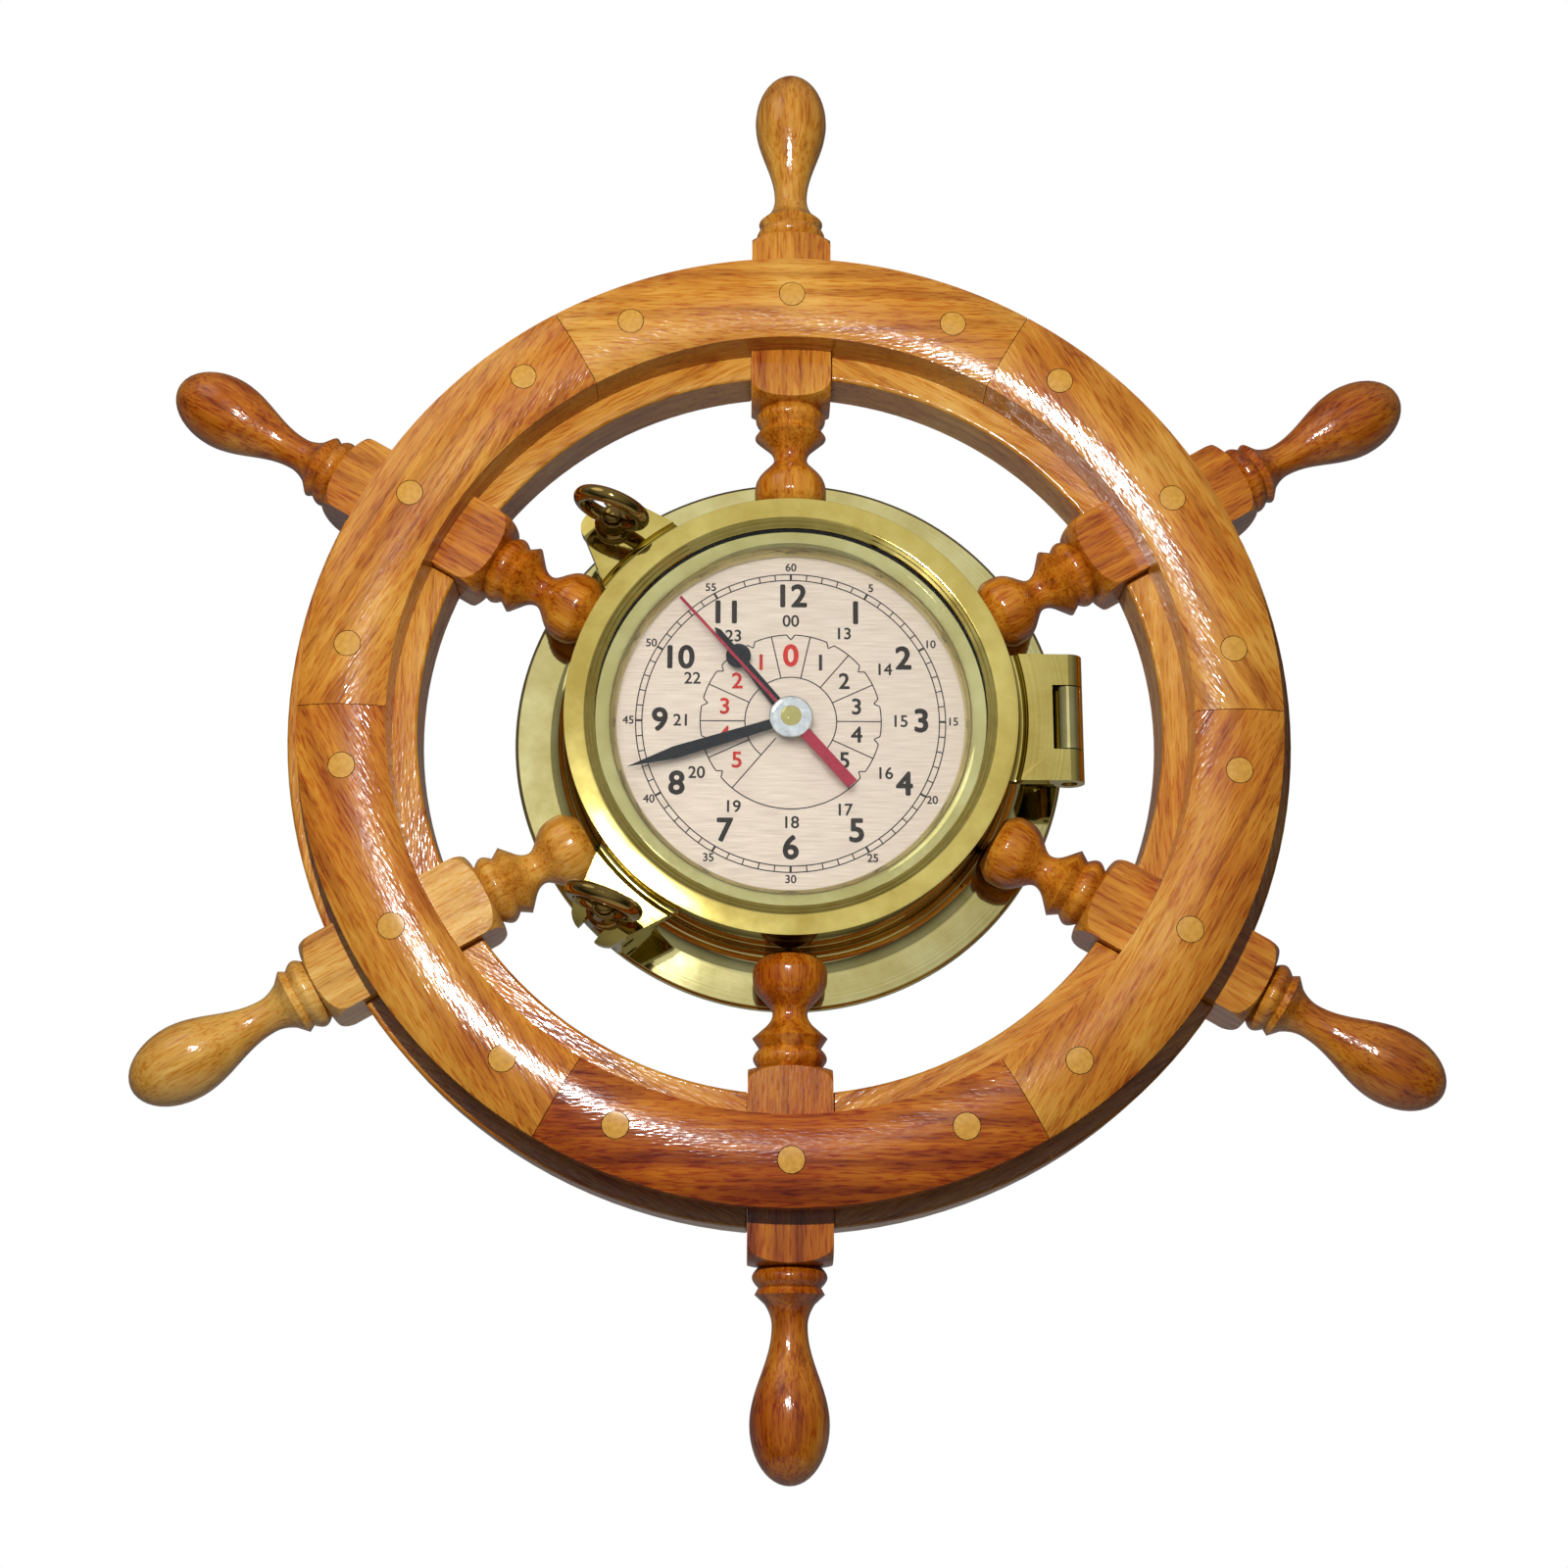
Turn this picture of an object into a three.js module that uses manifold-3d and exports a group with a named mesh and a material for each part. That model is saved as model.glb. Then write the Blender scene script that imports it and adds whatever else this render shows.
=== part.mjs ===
// Ship's wheel wall clock: a six-spoke wooden wheel round a hinged brass porthole with a clock in it.
// Millimetres. X runs to three o'clock, Z to twelve o'clock, and the dial faces -Y.
// The flange's rear face lies on the wall at Y = 0, so "front" below is a distance from the wall, along -Y.
import * as THREE from "three";
import { mergeVertices } from "three/addons/utils/BufferGeometryUtils.js";
import Module from "manifold-3d";

const wasm = await Module();
wasm.setup();

// Fits
const FIT = 0.3;
const DOOR_GAP = 0.4;

// Facets
const SPOKE_SIDES = 12;
const RIM_SIDES = 48;
const BRASS_SIDES = 30;
const ROD_SIDES = 12;
const KNUCKLE_SIDES = 18;
const SCREW_SIDES = 12;
const NUT_PATH_SIDES = 72;
const WIRE_SIDES = 6;
const LONG_CURVE = 4;
const SHORT_CURVE = 2;
const FAR = 400;

// Wheel rim: a middle ring between the spokes, and a domed front ring over them
const SPOKES = 6;
const RIM_INNER_R = 154.5;
const RIM_WIDTH = 53.5;
const RIM_DEPTH = 24;
const RING_LEDGE = 10.3;
const RING_WIDTH = 36.2;
const RING_WALL = 14.5;
const RING_CROWN = 8;
const CROWN_STEPS = 6;
const PLUG_D = 10.5;
const PLUG_DEPTH = 9;
const PLUG_SPREAD = 21.9;

// Spokes: a square block through the rim, a turned handle outside it, and a turned neck and bulb inside it
const BLOCK = 34;
const BLOCK_INSIDE = 11.5;
const BLOCK_OUTSIDE = 13.5;
const SHOULDER = 6.5;
const GROOVE_D = 25;
const BEAD_D = 30;
const BEAD_LENGTH = 8.2;
const INNER_COLLAR = { d: 30.5, peak: 4.2, length: 8, endD: 22, neckRun: 6.3 };
const OUTER_COLLAR = { d: 28, peak: 2.6, length: 6.3, endD: 20, neckRun: 8.5 };
const NECK_D = 14.2;
const HANDLE_D = 31.5;
const HANDLE_SWELL = 37.5;
const HANDLE_TIP = 23;
const BULB_D = 30.6;
const BULB_END_D = 21;
const BULB_STANDOFF = 3.5;
const BULB_CROWN = 7;
const BULB_FULLNESS = 1.7;

// Porthole body: flange, wall and a spigot whose flared mouth frames the dial; open at the back
const DIAL_OPENING_R = 72;
const DIAL_LAND = 1;
const DIAL_LEDGE = 2.2;
const FLARE_WIDTH = 6.8;
const SPIGOT_RIM = 3.6;
const SPIGOT_GAP = 0.6;
const FLANGE_WIDTH = 23.5;
const FLANGE_THICK = 4;
const FLANGE_EDGE = 1.2;
const BODY_WALL = 6;
const BODY_DEPTH = 34.6;
const BODY_COVE = 9;

// Door ring, glass and the ring that holds the glass
const DOOR_WALL = 6.7;
const DOOR_EDGE = 0.6;
const LIP_OVERLAP = 5.5;
const LIP_BEVEL = 2;
const LIP_THICK = 0.9;
const LIP_DROP = 0.8;
const LIP_DEPTH = 2.2;
const GLASS_THICK = 3;
const GLASS_GAP = 0.5;
const RETAINER_WIDTH = 3;
const RETAINER_THICK = 3.1;

// Hinge at three o'clock
const EAR_THICK = 6.6;
const HINGE_OUT = 21.5;
const HINGE_HEIGHT = 54;
const KNUCKLE_R = 6.3;
const KNUCKLE_HEIGHT = 26.4;
const KNUCKLE_GAP = 0.5;
const HINGE_PIN_R = 3;
const HINGE_PIN_RECESS = 1;
const GROOVE_R = 2.5;

// Dogs: swing bolts in lugs on the body, with ring nuts that clamp forked ears on the door
const DOG_ANGLES = { upper: 318, lower: 222 };
const DOG_OUT = 18;
const DOG_PIVOT = 13.6;
const DOG_SLOT = 9;
const DOG_EYE_R = 6.5;
const DOG_EYE_ROOM = 1;
const DOG_PIN_R = 2.5;
const DOG_PIN_RECESS = 0.6;
const DOG_SHANK_R = 3.7;
const DOG_SHANK_OUT = 12;
const DOG_SHANK_DOME = 1.5;
const EAR_ROOT = 46;
const EAR_TIP = 25;
const EAR_REACH = 12;
const EAR_CORNER = 8;
const LUG_ROOT = 30;
const LUG_TIP = 21;
const LUG_REACH = 5.2;
const LUG_CORNER = 3;
const NUT_TURN = 20;
const NUT_BASE_R = 8;
const NUT_BASE_THICK = 3.5;
const NUT_HUB_R = 6.2;
const NUT_HUB_HEIGHT = 10;
const NUT_RING_R = 13.2;
const NUT_WIRE_R = 3.3;
const NUT_RING_HEIGHT = 19.5;

// Screws through the flange into the spokes' bulbs
const SCREW_OUT = 13;
const SCREW_HEAD_R = 4;
const SCREW_HEAD_THICK = 2;
const SCREW_SHANK_R = 2;
const SCREW_LENGTH = 16;
const SCREW_RECESS = 0.4;

// Clock: dial, the ring behind it, quartz movement and hands
const DIAL_THICK = 1.2;
const DIAL_RING_WIDTH = 6.6;
const DIAL_RING_THICK = 4.7;
const MOVEMENT_SIDE = 56;
const MOVEMENT_THICK = 15;
const MOVEMENT_CORNER = 5;
const BATTERY_BAY_LENGTH = 51;
const BATTERY_BAY_WIDTH = 15;
const BATTERY_BAY_DEPTH = 13.8;
const BATTERY_BAY_FOOT = 2.5;
const BUSH_R = 4;
const BUSH_ROOT = 1;
const BUSH_OUT = 2.1;
const DIAL_NUT_R = 6.5;
const DIAL_NUT_THICK = 1.6;
const HAND_THICK = 0.8;
const HAND_SPACING = 1.7;
const HAND_BOSS_WIDTH = 2.6;
const HOUR_TUBE_R = 3;
const MINUTE_TUBE_R = 2.2;
const SECOND_ARBOR_R = 1;
const HOUR_ANGLE = 321.5;
const HOUR_LENGTH = 51;
const HOUR_WIDTH = 5;
const HOUR_BLOB_AT = 35;
const HOUR_BLOB_R = 5.2;
const HOUR_TIP_WIDTH = 2.6;
const MINUTE_ANGLE = 252.6;
const MINUTE_LENGTH = 70.2;
const MINUTE_ROOT_WIDTH = 3.8;
const MINUTE_WIDTH = 5.2;
const MINUTE_SHOULDER = 50;
const SECOND_ANGLE = 318.4;
const SECOND_LENGTH = 69.5;
const SECOND_WIDTH = 1.2;
const SECOND_TAIL = 38;
const SECOND_TAIL_WIDTH = 4.8;
const CAP_R = 9;
const CAP_HEIGHT = 2.8;
const CAP_ROOF = 1;
const CAP_ROOM = 0.9;

// Places that follow from the sizes: the wheel
const SECTOR = 360 / SPOKES;
const SPOKE_AXIS = FLANGE_THICK + FIT + BULB_D / 2;
const RIM_OUTER_R = RIM_INNER_R + RIM_WIDTH;
const RIM_BACK = SPOKE_AXIS - RIM_DEPTH / 2;
const RIM_FRONT = SPOKE_AXIS + RIM_DEPTH / 2;
const BLOCK_FRONT = SPOKE_AXIS + BLOCK / 2;
const BLOCK_START = RIM_INNER_R - BLOCK_INSIDE;
const BLOCK_END = RIM_OUTER_R + BLOCK_OUTSIDE;
const RING_INNER_R = RIM_INNER_R + RING_LEDGE;
const RING_MIDDLE_R = RING_INNER_R + RING_WIDTH / 2;
const RING_BACK = RIM_FRONT + FIT;
const RING_SPRING = RING_BACK + RING_WALL;
const RING_FRONT = RING_SPRING + RING_CROWN;

// Radii from the dial outwards
const SPIGOT_R = DIAL_OPENING_R + FLARE_WIDTH + SPIGOT_RIM;
const RETAINER_R = SPIGOT_R + SPIGOT_GAP;
const GLASS_R = RETAINER_R + RETAINER_WIDTH;
const POCKET_R = GLASS_R + FIT;
const BODY_R = POCKET_R + DOOR_WALL;
const LIP_R = GLASS_R - LIP_OVERLAP;
const FACE_INNER_R = LIP_R + LIP_BEVEL;
const BORE_R = BODY_R - BODY_WALL;
const DIAL_R = BORE_R - FIT;
const FLANGE_R = BODY_R + FLANGE_WIDTH;
const SCREW_CIRCLE_R = BODY_R + SCREW_OUT;
const DOG_R = BODY_R + DOG_OUT;
const HINGE_X = BODY_R + HINGE_OUT;

// Distances from the wall, from the dial forwards
const DIAL_SEAT = BODY_DEPTH - DIAL_LEDGE;
const DIAL_FRONT = DIAL_SEAT - FIT;
const DIAL_BACK = DIAL_FRONT - DIAL_THICK;
const MOVEMENT_FRONT = DIAL_BACK - FIT;
const MOVEMENT_BACK = MOVEMENT_FRONT - MOVEMENT_THICK;
const HOUR_BACK = DIAL_FRONT + BUSH_OUT + FIT;
const MINUTE_BACK = HOUR_BACK + HAND_SPACING;
const SECOND_BACK = MINUTE_BACK + HAND_SPACING;
const GLASS_BACK = SECOND_BACK + CAP_HEIGHT + CAP_ROOM;
const GLASS_FRONT = GLASS_BACK + GLASS_THICK;
const SPIGOT_FRONT = GLASS_BACK - GLASS_GAP;
const LIP_BACK = GLASS_FRONT + FIT;
const DOOR_FRONT = LIP_BACK + LIP_DEPTH;
const DOOR_BACK = BODY_DEPTH + DOOR_GAP;
const EAR_FRONT = DOOR_BACK + EAR_THICK;
const NUT_SEAT = EAR_FRONT + FIT;
const HINGE_FRONT = EAR_FRONT - KNUCKLE_R;

const rad = THREE.MathUtils.degToRad;
const steps = (count) => Array.from({ length: count }, (_, i) => (i + 1) / count);
const spokeAngles = Array.from({ length: SPOKES }, (_, i) => i * SECTOR);
const dogAngles = Object.values(DOG_ANGLES);

// Solids

function solidOf(geometry) {
  const bare = new THREE.BufferGeometry();
  bare.setAttribute("position", geometry.getAttribute("position"));
  bare.setIndex(geometry.getIndex());
  const merged = mergeVertices(bare);
  const corners = merged.getIndex().array;
  const kept = [];
  for (let i = 0; i < corners.length; i += 3) {
    const [a, b, c] = corners.slice(i, i + 3);
    if (a !== b && b !== c && c !== a) kept.push(a, b, c);
  }
  const vertProperties = merged.getAttribute("position").array;
  return new wasm.Manifold(new wasm.Mesh({ numProp: 3, vertProperties, triVerts: new Uint32Array(kept) }));
}

function geometryOf(solid) {
  const { vertProperties, triVerts } = solid.getMesh();
  const geometry = new THREE.BufferGeometry();
  geometry.setAttribute("position", new THREE.BufferAttribute(vertProperties, 3));
  geometry.setIndex(new THREE.BufferAttribute(triVerts, 1));
  geometry.computeVertexNormals();
  return geometry;
}

const joined = (first, others) => others.reduce((solid, other) => solid.add(other), first);
const without = (first, cuts) => cuts.reduce((solid, cut) => solid.subtract(cut), first);

// [radius, height] pairs spun about Y; the outline is closed unless both its ends lie on the axis.
function spun(outline, sides) {
  const points = outline.map(([radius, height]) => new THREE.Vector2(radius, height));
  if (THREE.ShapeUtils.area(points) < 0) points.reverse();
  const endsOnAxis = points[0].x === 0 && points.at(-1).x === 0;
  if (!endsOnAxis) points.push(points[0].clone());
  return new THREE.LatheGeometry(points, sides);
}

// [radius, front] pairs turned about an axis that stands on the wall at x, z.
function turned(outline, sides = BRASS_SIDES, x = 0, z = 0) {
  const onWall = outline.map(([radius, front]) => [radius, -front]);
  return solidOf(spun(onWall, sides).translate(x, 0, z));
}

function post(x, z, radius, back, front, sides = ROD_SIDES) {
  return turned([[0, back], [radius, back], [radius, front], [0, front]], sides, x, z);
}

function ring(innerRadius, outerRadius, back, front, sides = BRASS_SIDES) {
  const corners = [[innerRadius, back], [outerRadius, back], [outerRadius, front], [innerRadius, front]];
  return turned(corners, sides);
}

// A flat outline in X and Z, raised between two distances from the wall, then turned clockwise.
function plate(shape, back, front, clockwise = 0) {
  const options = { depth: front - back, bevelEnabled: false, curveSegments: LONG_CURVE };
  const geometry = new THREE.ExtrudeGeometry(shape, options);
  return solidOf(geometry.translate(0, 0, back).rotateX(Math.PI / 2).rotateY(rad(clockwise)));
}

const outline = (pairs) => new THREE.Shape(pairs.map(([x, z]) => new THREE.Vector2(x, z)));

function block(x0, x1, z0, z1, back, front, clockwise = 0) {
  return plate(outline([[x0, z0], [x1, z0], [x1, z1], [x0, z1]]), back, front, clockwise);
}

// A rod along X through z and front, turned clockwise about the clock's axis.
function crossRod(z, front, radius, length, clockwise = 0, sides = ROD_SIDES) {
  const rod = new THREE.CylinderGeometry(radius, radius, length, sides).rotateZ(Math.PI / 2);
  return solidOf(rod.translate(0, -front, z).rotateY(rad(clockwise)));
}

// A rod along Z through x and front, with its middle at z = 0.
function uprightRod(x, front, radius, height, sides = ROD_SIDES) {
  const rod = new THREE.CylinderGeometry(radius, radius, height, sides).rotateX(Math.PI / 2);
  return solidOf(rod.translate(x, -front, 0));
}

// One sector, centred on twelve o'clock, between rays from the centre, less a margin along each ray.
function sectorWedge(margin) {
  const half = rad(SECTOR / 2);
  const apex = margin / Math.sin(half);
  const [x, z] = [FAR * Math.sin(half), apex + FAR * Math.cos(half)];
  return plate(outline([[0, apex], [x, z], [-x, z]]), -FAR, FAR);
}

// Turned outlines, as [along, radius] pairs that leave out their own first point

// A curve that leaves and arrives level; with a fullness over one it keeps near its start for longer.
function eased(from, to, startRadius, endRadius, count, fullness = 1) {
  const share = (t) => (1 - Math.cos(Math.PI * t ** fullness)) / 2;
  const radiusAt = (t) => startRadius + (endRadius - startRadius) * share(t);
  return steps(count).map((t) => [from + (to - from) * t, radiusAt(t)]);
}

function bead(from, to, edgeRadius, crownRadius, count) {
  const radiusAt = (t) => edgeRadius + (crownRadius - edgeRadius) * Math.sin(Math.PI * t);
  return steps(count).map((t) => [from + (to - from) * t, radiusAt(t)]);
}

function swelled(from, to, startRadius, endRadius, count) {
  const radiusAt = (t) => startRadius + (endRadius - startRadius) * Math.sin((Math.PI * t) / 2);
  return steps(count).map((t) => [from + (to - from) * t, radiusAt(t)]);
}

function roundedEnd(from, to, radius, count) {
  const angles = steps(count).slice(0, -1).map((t) => (t * Math.PI) / 2);
  const side = angles.map((a) => [from + (to - from) * Math.sin(a), radius * Math.cos(a)]);
  return [...side, [to, 0]];
}

// The quarter round from the flange up to the porthole's wall, as [radius, front] pairs.
function bodyCove(grow) {
  const [wall, foot] = [BODY_R + grow, FLANGE_THICK + grow];
  const angles = [0, ...steps(LONG_CURVE)].map((t) => (t * Math.PI) / 2);
  return angles.map((a) => [wall + BODY_COVE * (1 - Math.sin(a)), foot + BODY_COVE * (1 - Math.cos(a))]);
}

// Wheel

// The turned shoulder of the square block: from the groove at the block's end to the block's corners.
function shoulder(end, inward, cornerRadius) {
  const groove = GROOVE_D / 2;
  const drop = (t) => 1 - Math.sqrt(1 - t * t);
  const curve = [0, ...steps(SHORT_CURVE)];
  return curve.map((t) => [end + inward * SHOULDER * drop(t), groove + (cornerRadius - groove) * t]);
}

// The turning next to the block, outwards from it: bead, groove and sloping collar.
function beadAndCollar(start, way, collar) {
  const beadEnd = start + way * BEAD_LENGTH;
  return [
    ...bead(start, beadEnd, GROOVE_D / 2, BEAD_D / 2, LONG_CURVE),
    [beadEnd + way * collar.peak, collar.d / 2],
    [beadEnd + way * collar.length, collar.endD / 2],
  ];
}

function makeSpoke() {
  const cornerRadius = (BLOCK * Math.SQRT1_2) / Math.cos(Math.PI / SPOKE_SIDES) + FIT;
  const innerCollar = beadAndCollar(BLOCK_START, -1, INNER_COLLAR).reverse();
  const outerCollar = beadAndCollar(BLOCK_END, 1, OUTER_COLLAR);
  const innerNeck = innerCollar[0][0] - INNER_COLLAR.neckRun;
  const outerStart = outerCollar.at(-1)[0];
  const outerNeck = outerStart + OUTER_COLLAR.neckRun;
  const swell = outerNeck + HANDLE_SWELL;
  const bulbStart = BODY_R + BULB_STANDOFF;
  const bulbCrown = bulbStart + BULB_CROWN;
  const turning = [
    [bulbStart, 0],
    [bulbStart, BULB_END_D / 2],
    ...swelled(bulbStart, bulbCrown, BULB_END_D / 2, BULB_D / 2, SHORT_CURVE),
    ...eased(bulbCrown, innerNeck, BULB_D / 2, NECK_D / 2, LONG_CURVE, BULB_FULLNESS),
    ...innerCollar,
    ...shoulder(BLOCK_START, 1, cornerRadius),
    ...shoulder(BLOCK_END, -1, cornerRadius).reverse(),
    ...outerCollar,
    ...eased(outerStart, outerNeck, OUTER_COLLAR.endD / 2, NECK_D / 2, SHORT_CURVE),
    ...eased(outerNeck, swell, NECK_D / 2, HANDLE_D / 2, LONG_CURVE),
    ...roundedEnd(swell, swell + HANDLE_TIP, HANDLE_D / 2, LONG_CURVE),
  ];
  const lathe = spun(turning.map(([along, radius]) => [radius, along]), SPOKE_SIDES);
  const round = solidOf(lathe.rotateX(Math.PI / 2).translate(0, -SPOKE_AXIS, 0));
  const square = block(-BLOCK / 2, BLOCK / 2, 0, FAR, SPOKE_AXIS - BLOCK / 2, BLOCK_FRONT);
  const foot = FLANGE_THICK + FIT;
  const porthole = turned([[0, 0], [FAR, 0], [FAR, foot], ...bodyCove(FIT), [BODY_R + FIT, FAR], [0, FAR]]);
  const pilotHole = post(0, SCREW_CIRCLE_R, SCREW_SHANK_R + FIT, 0, SCREW_LENGTH + FIT, SCREW_SIDES);
  return without(round.intersect(square), [porthole, pilotHole]);
}

function makeFrontRing() {
  const angles = [0, ...steps(CROWN_STEPS)].map((t) => t * Math.PI);
  const crown = angles.map((a) => [
    RING_MIDDLE_R - (RING_WIDTH / 2) * Math.cos(a),
    RING_SPRING + RING_CROWN * Math.sin(a),
  ]);
  return turned([[RING_INNER_R, RING_BACK], ...crown, [RING_INNER_R + RING_WIDTH, RING_BACK]], RIM_SIDES);
}

function plugAt(angle, grow) {
  const [x, z] = [RING_MIDDLE_R * Math.sin(rad(angle)), RING_MIDDLE_R * Math.cos(rad(angle))];
  return post(x, z, PLUG_D / 2 + grow, RING_FRONT - PLUG_DEPTH - grow, RING_FRONT + FIT, SCREW_SIDES);
}

function makeFelloe(frontRing) {
  const half = BLOCK / 2 + FIT;
  const notch = block(-half, half, 0, FAR, 0, BLOCK_FRONT + FIT);
  const holes = plugAngles.map((angle) => plugAt(angle, FIT));
  return without(frontRing.intersect(sectorWedge(FIT / 2)), [notch, ...holes]);
}

function makeRimSegment() {
  const whole = ring(RIM_INNER_R, RIM_OUTER_R, RIM_BACK, RIM_FRONT, RIM_SIDES);
  return whole.intersect(sectorWedge(BLOCK / 2 + FIT));
}

function screwAt(angle, grow) {
  const [x, z] = [SCREW_CIRCLE_R * Math.sin(rad(angle)), SCREW_CIRCLE_R * Math.cos(rad(angle))];
  const shape = [
    [0, SCREW_RECESS - grow],
    [SCREW_HEAD_R + grow, SCREW_RECESS - grow],
    [SCREW_SHANK_R + grow, SCREW_RECESS + SCREW_HEAD_THICK + grow],
    [SCREW_SHANK_R + grow, SCREW_LENGTH + grow],
    [0, SCREW_LENGTH + grow],
  ];
  return turned(shape, SCREW_SIDES, x, z);
}

// Porthole

// An ear or a lug at twelve o'clock: a tongue that narrows from its root to a tip with round corners.
function tongue(rootZ, tipZ, rootWidth, tipWidth, corner) {
  const half = tipWidth / 2;
  const shape = new THREE.Shape();
  shape.moveTo(-rootWidth / 2, rootZ);
  shape.lineTo(rootWidth / 2, rootZ);
  shape.lineTo(half, tipZ - corner);
  shape.quadraticCurveTo(half, tipZ, half - corner, tipZ);
  shape.lineTo(corner - half, tipZ);
  shape.quadraticCurveTo(-half, tipZ, -half, tipZ - corner);
  return shape;
}

function makeBody() {
  const mouth = DIAL_SEAT + DIAL_LAND;
  const flare = [0, ...steps(LONG_CURVE)].map((t) => (t * Math.PI) / 2).map((a) => [
    DIAL_OPENING_R + FLARE_WIDTH * (1 - Math.cos(a)),
    mouth + (SPIGOT_FRONT - mouth) * Math.sin(a),
  ]);
  const shell = turned([
    [BORE_R, 0],
    [FLANGE_R, 0],
    [FLANGE_R, FLANGE_THICK - FLANGE_EDGE],
    [FLANGE_R - FLANGE_EDGE, FLANGE_THICK],
    ...bodyCove(0),
    [BODY_R, BODY_DEPTH],
    [SPIGOT_R, BODY_DEPTH],
    [SPIGOT_R, SPIGOT_FRONT],
    ...flare.reverse(),
    [DIAL_OPENING_R, DIAL_SEAT],
    [BORE_R, DIAL_SEAT],
  ]);
  const root = BODY_R - BODY_WALL / 2;
  const lug = tongue(root, DOG_R + LUG_REACH, LUG_ROOT, LUG_TIP, LUG_CORNER);
  const half = KNUCKLE_HEIGHT / 2;
  const fittings = [
    block(root, HINGE_X, -half, half, HINGE_FRONT - KNUCKLE_R, BODY_DEPTH),
    uprightRod(HINGE_X, HINGE_FRONT, KNUCKLE_R, KNUCKLE_HEIGHT, KNUCKLE_SIDES),
    ...dogAngles.map((angle) => plate(lug, FLANGE_THICK / 2, BODY_DEPTH, angle)),
  ];
  const slotStart = DOG_R - DOG_EYE_R - DOG_EYE_ROOM;
  const slotFloor = DOG_PIVOT - DOG_EYE_R - DOG_EYE_ROOM;
  const cuts = [
    uprightRod(HINGE_X, HINGE_FRONT, HINGE_PIN_R + FIT, HINGE_HEIGHT),
    ...dogAngles.map((angle) => block(-DOG_SLOT / 2, DOG_SLOT / 2, slotStart, FAR, slotFloor, FAR, angle)),
    ...dogAngles.map((angle) => crossRod(DOG_R, DOG_PIVOT, DOG_PIN_R + FIT, LUG_ROOT, angle)),
    ...spokeAngles.map((angle) => screwAt(angle, FIT)),
  ];
  return without(joined(shell, fittings), cuts);
}

// The ear's tip falls away round the dog's pivot, so the ring nut can swing off it.
function makeEar(angle) {
  const [x, z] = [DOG_R * Math.sin(rad(angle)), DOG_R * Math.cos(rad(angle))];
  const shape = tongue(GLASS_R, DOG_R + EAR_REACH, EAR_ROOT, EAR_TIP, EAR_CORNER);
  const ear = plate(shape, DOOR_BACK, EAR_FRONT, angle);
  const slot = block(-DOG_SLOT / 2, DOG_SLOT / 2, DOG_R, FAR, 0, FAR, angle);
  const slotEnd = post(x, z, DOG_SLOT / 2, 0, FAR);
  const beyond = block(-EAR_ROOT, EAR_ROOT, DOG_R, FAR, DOG_PIVOT, FAR, angle);
  const nutPath = crossRod(DOG_R, DOG_PIVOT, EAR_FRONT - DOG_PIVOT, FAR, angle, NUT_PATH_SIDES);
  return without(ear, [slot, slotEnd, beyond.subtract(nutPath)]);
}

function makeDoor() {
  const stepR = (FACE_INNER_R + LIP_R) / 2;
  const lipFront = LIP_BACK + LIP_THICK;
  const frame = turned([
    [POCKET_R, DOOR_BACK],
    [BODY_R, DOOR_BACK],
    [BODY_R, DOOR_FRONT - DOOR_EDGE],
    [BODY_R - DOOR_EDGE, DOOR_FRONT],
    [FACE_INNER_R, DOOR_FRONT],
    [stepR, DOOR_FRONT - LIP_DROP],
    [LIP_R, lipFront],
    [LIP_R, LIP_BACK],
    [POCKET_R, LIP_BACK],
  ]);
  const half = HINGE_HEIGHT / 2;
  const leaf = block(GLASS_R, HINGE_X, -half, half, DOOR_BACK, EAR_FRONT);
  const barrel = uprightRod(HINGE_X, HINGE_FRONT, KNUCKLE_R, HINGE_HEIGHT, KNUCKLE_SIDES);
  const arms = joined(leaf, [barrel, ...dogAngles.map(makeEar)]);
  const grooveR = BODY_R + GROOVE_R - FIT;
  const arc = [0, ...steps(LONG_CURVE)].map((t) => t * Math.PI);
  const groove = turned([
    ...arc.map((a) => [grooveR + GROOVE_R * Math.cos(a), EAR_FRONT - GROOVE_R * Math.sin(a)]),
    [grooveR - GROOVE_R, FAR],
    [grooveR + GROOVE_R, FAR],
  ]);
  const notchHalf = KNUCKLE_HEIGHT / 2 + KNUCKLE_GAP;
  const cuts = [
    groove,
    post(0, 0, POCKET_R, 0, FAR, BRASS_SIDES),
    block(HINGE_X - KNUCKLE_R - KNUCKLE_GAP, FAR, -notchHalf, notchHalf, 0, FAR),
    uprightRod(HINGE_X, HINGE_FRONT, HINGE_PIN_R + FIT, FAR),
  ];
  return frame.add(without(arms, cuts));
}

function makeDogBolt() {
  const eye = crossRod(DOG_R, DOG_PIVOT, DOG_EYE_R, DOG_SLOT - 2 * FIT, 0, KNUCKLE_SIDES);
  const end = NUT_SEAT + DOG_SHANK_OUT;
  const dome = roundedEnd(end, end + DOG_SHANK_DOME, DOG_SHANK_R, SHORT_CURVE);
  const shank = turned(
    [
      [0, DOG_PIVOT],
      [DOG_SHANK_R, DOG_PIVOT],
      [DOG_SHANK_R, end],
      ...dome.map(([front, radius]) => [radius, front]),
    ],
    ROD_SIDES,
    0,
    DOG_R,
  );
  return eye.add(shank).subtract(crossRod(DOG_R, DOG_PIVOT, DOG_PIN_R + FIT, LUG_ROOT));
}

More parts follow.
